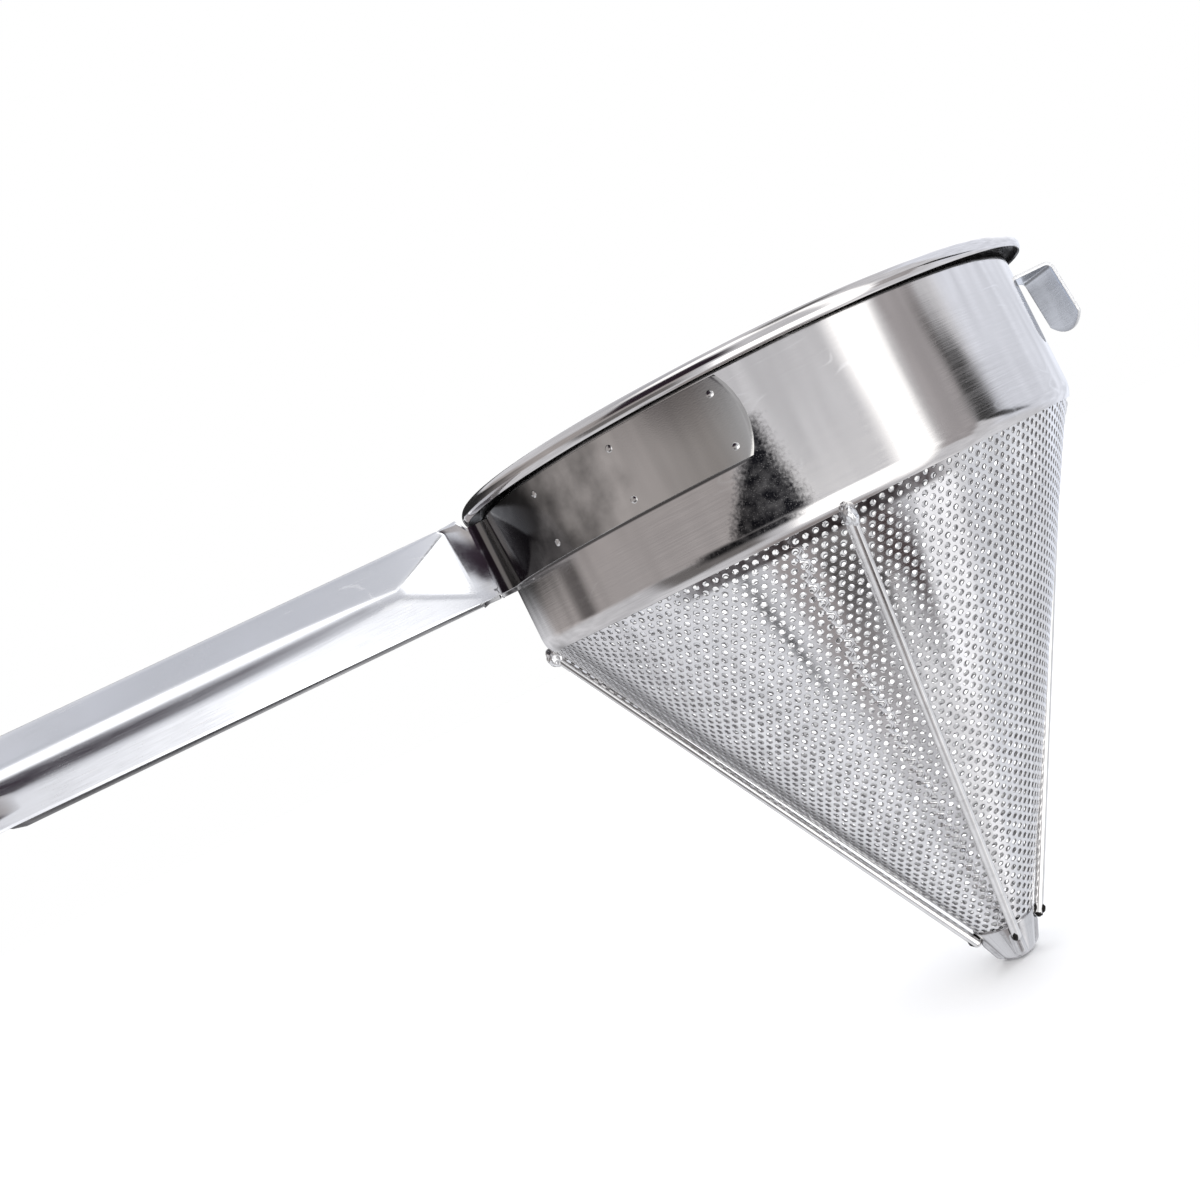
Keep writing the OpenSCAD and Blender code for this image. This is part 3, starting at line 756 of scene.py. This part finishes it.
# %% The Y fold, from the split of the crease to the facet's far edge
FOLD_ROWS, FACET_RIDGE_SOFT = 8, 1.1
FACET_TOP_X, FACET_EAVES_X, FACET_SIDE_X, FACET_LOW_X = -139.5, -139.2, -136.6, -135.2
FACET_SIDE_Y, FACET_SIDE_Z, FACET_LOW_Z = -3.9, -0.6, -30.2
split = channel_corners(FOLD_X, START_HALF_W, START_RISE)
facet_edge = [Vector((FACET_TOP_X, 0, RIDGE_Z)), Vector((FACET_EAVES_X, -EAVES_Y, RIDGE_Z)),
              Vector((FACET_SIDE_X, FACET_SIDE_Y, FACET_SIDE_Z)),
              Vector((FACET_LOW_X, -HALF_W, FACET_LOW_Z)), Vector((FACET_LOW_X, -HALF_W, WING_LOW))]
fold = []
for k in range(1, FOLD_ROWS + 1):
    t = k / FOLD_ROWS
    corners = [a.lerp(b, t) for a, b in zip(split, facet_edge)]
    ridge = RIDGE_SOFT + (FACET_RIDGE_SOFT - RIDGE_SOFT) * t
    fold.append(soft_row(corners, (ridge, FOLD_SOFT, FOLD_SOFT)))
print(len(fold), "rows of fold")

# %% How far down the sheet each point of a row lies
BEND_Y_TOP, BEND_STEPS, WING_ROWS = -11.0, 9, 64
STRAIGHT = math.radians(90)
reach_down = [0.0]
for a, b in zip(fold[-1], fold[-1][1:]):
    reach_down.append(reach_down[-1] + (b - a).length)
share = [r / reach_down[-1] for r in reach_down]
heights = [WING_TOP + (WING_LOW - WING_TOP) * t for t in share]
print("sheet from ridge to lower edge:", round(reach_down[-1], 1), "mm")

# %% Rows of the bend and of the wing


def bend_row(turn):
    """A row of the bend, turn 0 where the flat strip ends and 1 where the wing starts."""
    row = []
    for z, t in zip(heights, share):
        y = BEND_Y_TOP + (-HALF_W - BEND_Y_TOP) * t
        radius = (BEND_X ** 2 + y * y - WING_R ** 2) / (2 * (WING_R + y))
        away = math.atan2(radius - y, -BEND_X)
        angle = STRAIGHT + (away - STRAIGHT) * turn
        x = BEND_X + radius * math.cos(angle)
        row.append(Vector((x, y - radius + radius * math.sin(angle), z)))
    return row


def wing_row(t):
    """A row of the wing, t 0 at the bend and 1 at its arched end."""
    row = []
    mid = (WING_TOP + WING_LOW) / 2
    for p, z in zip(bend_row(1), heights):
        start = math.atan2(-p.y, -p.x)
        end = WING_END - math.asin(END_ARC / WING_R)
        end += math.asin(math.sqrt(END_ARC ** 2 - (z - mid) ** 2) / WING_R)
        angle = start + (end - start) * t
        row.append(Vector((-WING_R * math.cos(angle), -WING_R * math.sin(angle), z)))
    return row


# %% Rows of the strip between the facet and the bend
STRIP_ROWS = (0.1, 0.25, 0.4, 0.55, 0.7, 0.78, 0.86, 0.93)
DUCK_AT, DUCK_RUN = 0.7, 0.23
FACET_ROUND, BEND_ROUND = 0.9, 0.7


def rounded(before, corner, after, reach, steps=4):
    """Rows that round the fold where two stretches of sheet meet at the corner row."""
    ends = [(c + (a - c).normalized() * reach, c, c + (b - c).normalized() * reach)
            for a, c, b in zip(before, corner, after)]
    return [list(row) for row in zip(*[curve(a, c, b, steps) for a, c, b in ends])]


def strip_row(t):
    """A row of the flat strip. It stays as high as the ridge and then ducks under the rim."""
    row = [a.lerp(b, t) for a, b in zip(fold[-1], bend_start)]
    top = RIDGE_Z + (WING_TOP - RIDGE_Z) * max(t - DUCK_AT, 0) / DUCK_RUN
    more = (top - row[0].z) / (row[0].z - row[-1].z)
    reach = (row[0] - row[-1]) * more
    return [p + reach * (1 - s) for p, s in zip(row, share)]


bend_start = bend_row(0)
strip = rounded(fold[-2], fold[-1], bend_start, FACET_ROUND)
strip += [strip_row(t) for t in STRIP_ROWS]
strip += rounded(fold[-1], bend_start, bend_row(0.1), BEND_ROUND)

# %% Loft the near half, mirror it and finish the handle
bend_rows = [bend_row(k / BEND_STEPS) for k in range(1, BEND_STEPS + 1)]
wing_rows = [wing_row(k / WING_ROWS) for k in range(1, WING_ROWS + 1)]
half = lofted(channel + fold[:-1] + strip + bend_rows + wing_rows)
bmesh.ops.mirror(half, geom=half.verts[:] + half.edges[:] + half.faces[:], matrix=Matrix(),
                 merge_dist=1e-3, axis="Y")
handle = finish(half, "folded_handle", ["handle"], handle_steel, crisp=50,
                thickness=HANDLE_T, edge=edge_highlight_steel, back=channel_shade_steel)

# %% [markdown]
# The hanging hole goes through both side walls. A boolean with a round bit cuts it
# as a drill does. The cut mesh is kept, so that the small burr radius can follow
# the hole's edges too.

# %% Drill the hanging hole through both walls
HANG_AT, HANG_R, BIT_LENGTH, HANDLE_BURR = (-336.0, 0.0, -23.1), 4.5, 120.0, 0.45


def drill(piece, place, radius, reach, burr):
    """Cuts a hole along Y through the piece, keeps the cut mesh and breaks its edges."""
    bit = bmesh.new()
    bmesh.ops.create_cone(bit, cap_ends=True, segments=48, radius1=radius, radius2=radius,
                          depth=reach)
    bmesh.ops.rotate(bit, verts=bit.verts, cent=(0, 0, 0),
                     matrix=Matrix.Rotation(math.radians(90), 3, "X"))
    bmesh.ops.translate(bit, verts=bit.verts, vec=place)
    bmesh.ops.scale(bit, verts=bit.verts, vec=(MM, MM, MM))
    bit_mesh = bpy.data.meshes.new("drill_bit")
    bit.to_mesh(bit_mesh)
    bit.free()
    tool = bpy.data.objects.new("drill_bit", bit_mesh)
    bpy.context.scene.collection.objects.link(tool)
    cut = piece.modifiers.new("hole", "BOOLEAN")
    cut.object = tool
    bpy.context.view_layer.update()
    cut_piece = piece.evaluated_get(bpy.context.evaluated_depsgraph_get())
    shaped = bpy.data.meshes.new_from_object(cut_piece)
    piece.modifiers.clear()
    piece.data = shaped
    bpy.data.objects.remove(tool)
    round_edges(piece, burr)
    print(piece.name, len(shaped.polygons), "faces after drilling")


drill(handle, HANG_AT, HANG_R, BIT_LENGTH, HANDLE_BURR)

# %% [markdown]
# ## Ribs
#
# Four bright wires lie along the cone. Each is turned on its own axis with a
# rounded lower end, given the slight waviness of drawn wire, and laid in place.

# %% Where a rib lies
RIB_R = 2.0
RIB_TURN = -4.5
CAP_ROUND = 3.2
CAP_LEAN = math.atan((CAP_EDGE_R - CAP_END_R) / (CAP_H - CAP_ROUND))
RIB_OVER, RIB_CLEAR = 2.8, 0.1
rib_top = on_cone(0.1, RIB_R + 2 * SEAT)
over_cap = RIB_OVER * math.sin(HALF_ANGLE - CAP_LEAN)
rib_low = on_cone(CAP_S + RIB_OVER, RIB_R + CAP_T + 2 * SEAT + over_cap + RIB_CLEAR)
RIB_LEN = math.hypot(rib_low[0] - rib_top[0], rib_low[1] - rib_top[1])
print("a rib is", round(RIB_LEN, 1), "mm long")


def along_rib(turn):
    """The transform that lays a piece turned round Z along the rib at this azimuth."""
    run = Vector((rib_low[0] - rib_top[0], 0, rib_low[1] - rib_top[1]))
    lean_out = run.to_track_quat("Z", "Y").to_matrix().to_4x4()
    lay = Matrix.Translation((rib_top[0], 0, rib_top[1])) @ lean_out
    return Matrix.Rotation(math.radians(turn), 4, "Z") @ lay


# %% One wire for each rib
SWAY, SWAY_SCALE, STRAIGHT_END = 0.05, 0.02, 4


def wire(name, turn, steps=30):
    """One rib with its rounded end."""
    profile = [(0.0, 0.0), (RIB_R - 0.4, 0.0), (RIB_R, 0.4)]
    profile += [(RIB_R, RIB_LEN * k / steps) for k in range(1, steps)]
    profile += [(x, RIB_LEN + y) for x, y in arc(0, 0, RIB_R, 0, 90, 7)]
    bm = turned(profile, 24, closed=False)
    for v in bm.verts:
        if v.co.z < RIB_LEN - STRAIGHT_END:
            sway = noise.noise_vector(Vector((0, turn, v.co.z * SWAY_SCALE))) * SWAY
            v.co += Vector((sway.x, sway.y, 0))
    bmesh.ops.transform(bm, matrix=along_rib(turn), verts=bm.verts)
    return finish(bm, name + "_wire", [name], wire_steel)


for rib, turn in (("front_rib", -90), ("right_rib", 0), ("rear_rib", 90), ("left_rib", 180)):
    wire(rib, RIB_TURN + turn)

# %% [markdown]
# ## Welds on the ribs
#
# A weld bead is a frozen drop, so it starts as a ball that noise pushes out of
# round. Each rib has a broad bright bead under the lip, and at its lower end small
# tacks on both sides, where it is tacked to the cap. The tacks are painted near-black
# as painted shadow at the wire's end.

# %% Beads, and tacks painted black as shadow
BEAD_R, TACK_R, END_TACK_R = 3.9, 1.15, 1.5


def blob(bm, place, radius, stretch, seed, rough=0.16):
    """Adds an uneven ball to bm, stretched along its own axes and put in its place."""
    ball = bmesh.ops.create_icosphere(bm, subdivisions=4, radius=1.0)["verts"]
    for v in ball:
        spot = v.co * 1.3 + Vector((seed, seed * 0.37, -seed))
        v.co *= 1 + rough * noise.noise(spot) + rough * 0.5 * noise.noise(spot * 2.7)
    bmesh.ops.scale(bm, verts=ball, vec=[radius * k for k in stretch])
    bmesh.ops.transform(bm, matrix=place, verts=ball)


beads, shaded_tacks = bmesh.new(), bmesh.new()
for k in range(4):
    lay = along_rib(RIB_TURN - 90 + 90 * k)
    head = lay @ Matrix.Translation((0.1, 0, 1.6))
    blob(beads, head, BEAD_R, (0.72, 1.0, 1.15), 3.1 + 5 * k, rough=0.24)
    for side in (-1, 1):
        beside = lay @ Matrix.Translation((1.0, side * 1.75, RIB_LEN - 1.2))
        blob(shaded_tacks, beside, TACK_R, (0.9, 0.8, 1.5), 40.2 + 7 * k + side, rough=0.3)
    below = lay @ Matrix.Translation((1.0, 0, RIB_LEN + 0.9))
    blob(shaded_tacks, below, END_TACK_R, (0.7, 1.0, 0.9), 11.5 + 3 * k, rough=0.3)
finish(beads, "rib_top_beads", ["rib_top_welds"], weld_steel, crisp=80)
# The tacks take the near-black steel as painted shadow.
finish(shaded_tacks, "rib_tip_shaded_tacks", ["rib_tip_welds"], tack_shadow_steel, crisp=80)

# %% [markdown]
# ## Tip cap
#
# The cap is pressed from sheet. It is turned as a thin shell, and four half-round
# flutes are then pushed out of it, each one carrying on the line of a rib.

# %% The cap's outer section
SIDE_STEPS = 16
side_r = CAP_END_R + CAP_ROUND * (math.cos(CAP_LEAN) - 1) - CAP_EDGE_R
side_z = CAP_H - CAP_ROUND * (1 - math.sin(CAP_LEAN))
cap_out = [(CAP_EDGE_R + side_r * k / SIDE_STEPS, CAP_Z - side_z * k / SIDE_STEPS)
           for k in range(SIDE_STEPS)]
cap_out += arc(CAP_END_R - CAP_ROUND, CAP_Z - CAP_H + CAP_ROUND, CAP_ROUND,
               -math.degrees(CAP_LEAN), -90, 10)
cap_out += [(CAP_END_R - CAP_ROUND - k, CAP_Z - CAP_H) for k in (1.5, 3.0)]
cap_out += [(0.0, CAP_Z - CAP_H)]
print(len(cap_out), "points in the section")

# %% Turn the cap and press its flutes
FLUTE_R, FLUTE_SUNK = 2.6, 0.9
FLUTE_START, FLUTE_RISE, FLUTE_PAST, FLUTE_FALL = 4.6, 1.6, 0.6, 2.2
bm = turned(cap_out, 200, closed=False)
for v in bm.verts:
    r = math.hypot(v.co.x, v.co.y)
    turn = math.degrees(math.atan2(v.co.y, v.co.x)) - RIB_TURN
    off = math.radians((turn + 45) % 90 - 45)
    lift = math.sqrt(max(FLUTE_R ** 2 - (r * math.sin(off)) ** 2, 0)) - FLUTE_SUNK
    down = (CAP_Z - v.co.z) / math.cos(CAP_LEAN)
    begun = min(max((down - FLUTE_START) / FLUTE_RISE, 0), 1)
    left = min(max((CAP_H + FLUTE_PAST - down) / FLUTE_FALL, 0), 1)
    lift = max(lift, 0) * math.sqrt(begun) * math.sqrt(left)
    if r > 1e-6:
        v.co += Vector((v.co.x / r * math.cos(CAP_LEAN), v.co.y / r * math.cos(CAP_LEAN),
                        -math.sin(CAP_LEAN))) * lift
finish(bm, "pressed_cap", ["tip_cap"], cap_steel, crisp=60, thickness=CAP_T, burr=0.2)

# %% [markdown]
# ## Rest hook
#
# The hook is a bent strip: a leg welded to the collar, a bridge, and an outer leg
# with a rounded end that hangs over the rim of a pot. Rows across the strip follow
# its bends. The welded leg takes the collar's curve.

# %% Bend the hook's strip
HOOK_W, HOOK_T, HOOK_TOP = 33.0, 1.5, -8.6
HOOK_X, HOOK_BEND, HOOK_FLARE = BAND_R + 20 + HOOK_T, 4.0, 5.0
HOOK_LEG, HOOK_BASE, HOOK_INNER = 30.0, 25.0, 2.6
across = [-HOOK_W / 2 + HOOK_W * k / 16 for k in range(17)]
foot = HOOK_TOP - HOOK_LEG
seat_x = BAND_R + SEAT


def hook_row(x, z, hug=0.0):
    """A row across the strip. Hug 1 lays it on the collar and 0 leaves it straight."""
    back = [math.sqrt(seat_x ** 2 - y * y) - BAND_R - SEAT for y in across]
    return [Vector((x + hug * b, y, z)) for y, b in zip(across, back)]


# %% The welded leg, the bridge and the bend over the pot's rim
SEAT_STEP = 5.5
hook_rows = [hook_row(seat_x, HOOK_TOP - HOOK_BASE + k * SEAT_STEP, 1.0) for k in range(5)]
hook_rows += [hook_row(seat_x + HOOK_INNER + x, HOOK_TOP - HOOK_INNER + z, 1.0 - k / 6)
              for k, (x, z) in enumerate(arc(0, 0, HOOK_INNER, 180, 90, 6))]
hook_rows += [hook_row(seat_x + x, HOOK_TOP) for x in (6.0, 12.0)]
outer_bend = arc(HOOK_X - HOOK_BEND, HOOK_TOP - HOOK_BEND, HOOK_BEND, 90, HOOK_FLARE, 9)
hook_rows += [hook_row(x, z) for x, z in outer_bend]
print(len(hook_rows), "rows down to the outer leg")

# %% The outer leg with its rounded end
LEG_ROWS = 8
flare = math.tan(math.radians(HOOK_FLARE))
top_x, top_z = hook_rows[-1][0].x, hook_rows[-1][0].z
for k in range(1, LEG_ROWS + 1):
    t = k / LEG_ROWS
    row = []
    for y in across:
        low = foot + END_ARC - math.sqrt(END_ARC ** 2 - y * y)
        z = top_z + (low - top_z) * t
        row.append(Vector((top_x + (top_z - z) * flare, y, z)))
    hook_rows.append(row)
hook = lofted(hook_rows)
bmesh.ops.recalc_face_normals(hook, faces=hook.faces)
finish(hook, "hook_strip", ["rest_hook"], hook_steel, crisp=50,
       thickness=HOOK_T, burr=0.25, edge=edge_highlight_steel)

# %% [markdown]
# ## Spot welds
#
# A spot weld leaves a small smooth bump where the electrode pressed. One bump is
# turned from its section and set down at each place: six on each wing, and four on
# the hook's welded leg.

# %% One nugget
NUGGET_R, NUGGET_H = 1.4, 0.34


def nugget(bm, turn, z, face_r):
    """Adds a weld ring on a face of radius face_r."""
    slopes = [math.radians(a) for a in range(0, 90, 12)]
    dome = [(NUGGET_R * math.cos(a), NUGGET_H * math.sin(a)) for a in slopes]
    ring = turned([(NUGGET_R, -0.1)] + dome + [(0.0, NUGGET_H)], 20, closed=False)
    lay = Matrix.Rotation(math.radians(turn), 4, "Z") @ Matrix.Translation((face_r, 0, z))
    lay = lay @ Matrix.Rotation(math.radians(90), 4, "Y")
    bmesh.ops.transform(ring, matrix=lay, verts=ring.verts)
    shape = bpy.data.meshes.new("nugget")
    ring.to_mesh(shape)
    ring.free()
    bm.from_mesh(shape)
    bpy.data.meshes.remove(shape)


# %% Set them on the wings and on the hook's leg
SPOT_ANGLES, SPOT_Z = (35.0, 54.5, 74.0), (-8.9, -28.5)
HOOK_SPOT_ANGLES, HOOK_SPOT_Z = (-3.94, 3.94), (-15.6, -28.1)
wing_spots, hook_spots = bmesh.new(), bmesh.new()
for angle in SPOT_ANGLES:
    for z in SPOT_Z:
        nugget(wing_spots, 180 + angle, z, WING_R)
        nugget(wing_spots, 180 - angle, z, WING_R)
for angle in HOOK_SPOT_ANGLES:
    for z in HOOK_SPOT_Z:
        nugget(hook_spots, angle, z, seat_x + HOOK_T)
finish(wing_spots, "wing_spot_welds", ["handle_spot_welds"], spot_steel, crisp=70)
finish(hook_spots, "hook_weld_rings", ["hook_spot_welds"], spot_steel, crisp=70)

# %% [markdown]
# ## The cone's seam
#
# The rolled sheet is closed by a weld. It is a long low bead with the ripples that
# a welder's hand leaves, so a rippled rod is turned, flattened, and laid along the
# cone on the far side.

# %% The seam's bead
SEAM_W, SEAM_H, RIPPLE, RIPPLE_DEPTH = 2.6, 0.4, 1.4, 0.10
SEAM_TOP, SEAM_SHORT, SEAM_TIP = 2.5, 4, 0.3
run = CAP_S - SEAM_SHORT
steps = int(run / RIPPLE * 5)
ripples = []
for k in range(steps + 1):
    wave = abs(math.sin(math.pi * run * k / steps / RIPPLE))
    ripples.append((SEAM_W / 2 * (1 - RIPPLE_DEPTH * wave), run * k / steps))
seam = turned([(0.0, -SEAM_TIP)] + ripples + [(0.0, run + SEAM_TIP)], 12, closed=False)
bmesh.ops.scale(seam, verts=seam.verts, vec=(SEAM_H / SEAM_W * 2, 1, 1))
top_r, top_z = on_cone(SEAM_TOP)
lay = Matrix.Rotation(SEAM_AT, 4, "Z") @ Matrix.Translation((top_r, 0, top_z))
lay = lay @ Matrix.Rotation(math.pi + HALF_ANGLE, 4, "Y")
bmesh.ops.transform(seam, matrix=lay, verts=seam.verts)
finish(seam, "cone_seam_bead", ["cone_seam_weld"], weld_steel, crisp=80)

# %% [markdown]
# ## Floor and light
#
# The strainer is shown in a white studio on a pale floor. Bare white light would
# make polished steel look like paper, so the studio has what a metal photographer
# puts up: soft dark and bright cards round the set. They are painted on the world
# by direction, so only the metal shows them. A direction is given as the turn to
# the right of the front and the height above the horizon, both in degrees. The
# camera itself sees plain white behind the floor.

# %% Pale floor
FLOOR_Z, FLOOR_HALF, FLOOR_PAINT, FLOOR_ROUGH = -0.2622, 8.0, (0.93, 0.93, 0.93, 1), 0.9
floor_bm = bmesh.new()
bmesh.ops.create_grid(floor_bm, x_segments=1, y_segments=1, size=FLOOR_HALF)
bmesh.ops.translate(floor_bm, verts=floor_bm.verts, vec=(0, 0, FLOOR_Z))
floor_mesh = bpy.data.meshes.new("floor")
floor_bm.to_mesh(floor_mesh)
floor_bm.free()
floor = bpy.data.objects.new("floor", floor_mesh)
bpy.context.scene.collection.objects.link(floor)
floor.visible_glossy = False
paint = bpy.data.materials.new("floor_paint")
paint.use_nodes = True
paint_shader = paint.node_tree.nodes["Principled BSDF"]
paint_shader.inputs["Base Color"].default_value = FLOOR_PAINT
paint_shader.inputs["Roughness"].default_value = FLOOR_ROUGH
floor_mesh.materials.append(paint)
print("floor at z", FLOOR_Z)

# %% The world, and the turn and height of each direction
DRIFT_SCALE, DRIFT, UP_DRIFT = 5.0, 7.0, 0.3
world = bpy.data.worlds.new("studio")
world.use_nodes = True
bpy.context.scene.world = world
bpy.context.scene.view_settings.view_transform = "Standard"
sky = Graph(world.node_tree)
ray = sky.nodes.new("ShaderNodeTexCoord").outputs["Generated"]
ray_x, ray_y, ray_z = sky.split(ray)
drift = sky.times(sky.minus(sky.noise(ray, DRIFT_SCALE, 3.0), 0.5), DRIFT)
turn_of = sky.plus(sky.turn(ray_x, ray_y), drift)
height_of = sky.times(sky.math("ARCSINE", ray_z), math.degrees(1))
height_of = sky.plus(height_of, sky.times(drift, UP_DRIFT))


def card(shade, turn, height, colour, soft, lean=0.0):
    """Paints one soft card over the studio's colour so far, and returns the new colour."""
    place = sky.plus(turn_of, sky.times(height_of, lean)) if lean else turn_of
    across, upwards = sky.between(place, *turn, soft[0]), sky.between(height_of, *height, soft[1])
    return sky.mix(shade, colour, sky.times(across, upwards))


def grey(value):
    return value, value, value


print("drift", DRIFT, "degrees")

# %% [markdown]
# ### The cards
#
# A card hides those that are painted before it. The ones at eye level show in the
# upright wall of the collar and the wing, the ones overhead in the handle and the
# rim, and the low ones in the cone, which faces downwards. Each was moved until
# its reflection lay where the photograph has one.

# %% Cards at eye level, for the collar
BLACK, GLOOM, WARM = grey(0.03), (0.14, 0.13, 0.13), (0.37, 0.34, 0.34)
shade = (0.75, 0.755, 0.79)
shade = card(shade, (79, 200), (-20, 50), (0.94, 0.98, 1.08), (4, 6))      # pale right side
shade = card(shade, (125, 200), (10, 50), (1.5, 1.52, 1.56), (10, 8))      # its glow behind
shade = card(shade, (-145, -22), (-5, 32), (0.49, 0.46, 0.455), (8, 5))    # grey left side
shade = card(shade, (-200, -112), (1, 24), BLACK, (30, 1.5))               # dark far left
shade = card(shade, (-118, -106), (-3, 4), GLOOM, (4, 1.5))                # its soft end
shade = card(shade, (-75, -28), (-34, -5), (0.2, 0.19, 0.19), (6, 3))      # dark, lower left
shade = card(shade, (28, 47), (-40, 65), grey(1.9), (5, 8))                # tall bright strip
shade = card(shade, (49, 67), (-20, 8), (0.46, 0.44, 0.45), (2.5, 2))      # grey beside it
shade = card(shade, (66, 78), (-14, 3), BLACK, (2, 2), lean=1.5)           # leaning dark strip
shade = card(shade, (-15, 28), (-40, -3), grey(2.1), (5, 2))               # bright, low front
print(len(sky.nodes), "nodes in the world")

# %% Cards overhead, for the handle, the rim and the wing
shade = card(shade, (-175, -72), (64, 100), (0.60, 0.61, 0.655), (12, 6))  # greyer ceiling
shade = card(shade, (-70, 25), (55, 79), grey(1.7), (12, 7))               # bright strip
shade = card(shade, (26, 120), (65, 80), grey(0.15), (12, 4))              # dark beside it
shade = card(shade, (-60, -17), (8, 51), (0.03, 0.02, 0.03), (5, 4))       # dark, upper left
shade = card(shade, (-50, -8), (8, 43), (0.03, 0.02, 0.03), (6, 4))        # and nearer
print(len(sky.nodes), "nodes in the world")

# %% Cards below, for the cone
shade = card(shade, (-150, -62), (-72, -36), (0.88, 0.89, 0.93), (8, 5))   # pale, left
shade = card(shade, (-42, 30), (-62, -48), WARM, (6, 3))                   # warm grey, front
shade = card(shade, (-42, 6), (-68, -60), WARM, (6, 3))                    # and lower
shade = card(shade, (-190, -150), (-60, -10), (0.24, 0.24, 0.25), (8, 6))  # dark, far left
shade = card(shade, (-64, -57), (-62, -55), BLACK, (1.5, 1.2))             # thin dark line
shade = card(shade, (50, 78), (-72, -44), (1.12, 1.12, 1.15), (7, 5))      # bright, right
shade = card(shade, (24, 60), (-74, -62), (0.95, 0.95, 0.97), (7, 2))      # and in front
shade = card(shade, (78, 145), (-64, -22), (0.88, 0.90, 0.95), (7, 6))     # paler beyond it
shade = card(shade, (20, 50), (-60, -55), (0.06, 0.04, 0.04), (4, 1.5))    # dark, under the lip
shade = card(shade, (-15, 24), (-64, -60), BLACK, (4, 1.2))                # and below it
print(len(sky.nodes), "nodes in the world")

# %% White for the camera, the cards for the metal
WHITE, BLOTCH_SCALE, BLOTCH = (1.0, 1.0, 1.0), 12.0, (0.82, 1.14)
background = sky.nodes["Background"]
seen = sky.nodes.new("ShaderNodeLightPath").outputs["Is Camera Ray"]
sky.put(sky.mix(shade, WHITE, seen), background.inputs["Color"])
blotch = sky.spread(sky.noise(ray, BLOTCH_SCALE, 4.0, seed=4.0), *NOISE, *BLOTCH)
blotch = sky.times(blotch, sky.minus(1.0, seen))
sky.put(sky.math("MAXIMUM", blotch, seen), background.inputs["Strength"])
print("blotches from", *BLOTCH)

# %% [markdown]
# The cards are too uneven to light the floor, so a very wide sun does that. It is
# left out of reflections, and its shadow under the cap is as soft as on a dull day.

# %% A wide soft sun for the floor
SUN_STRENGTH, SUN_WIDTH = 2.6, 120
sun_data = bpy.data.lights.new("skylight", "SUN")
sun_data.energy = SUN_STRENGTH
sun_data.angle = math.radians(SUN_WIDTH)
sun = bpy.data.objects.new("skylight", sun_data)
bpy.context.scene.collection.objects.link(sun)
sun.visible_glossy = False
print(sun.name, SUN_WIDTH, "degrees wide")

# %% [markdown]
# ## Count the pieces
#
# The pieces made above are counted.

# %% Count the pieces
print(len(made), "pieces")
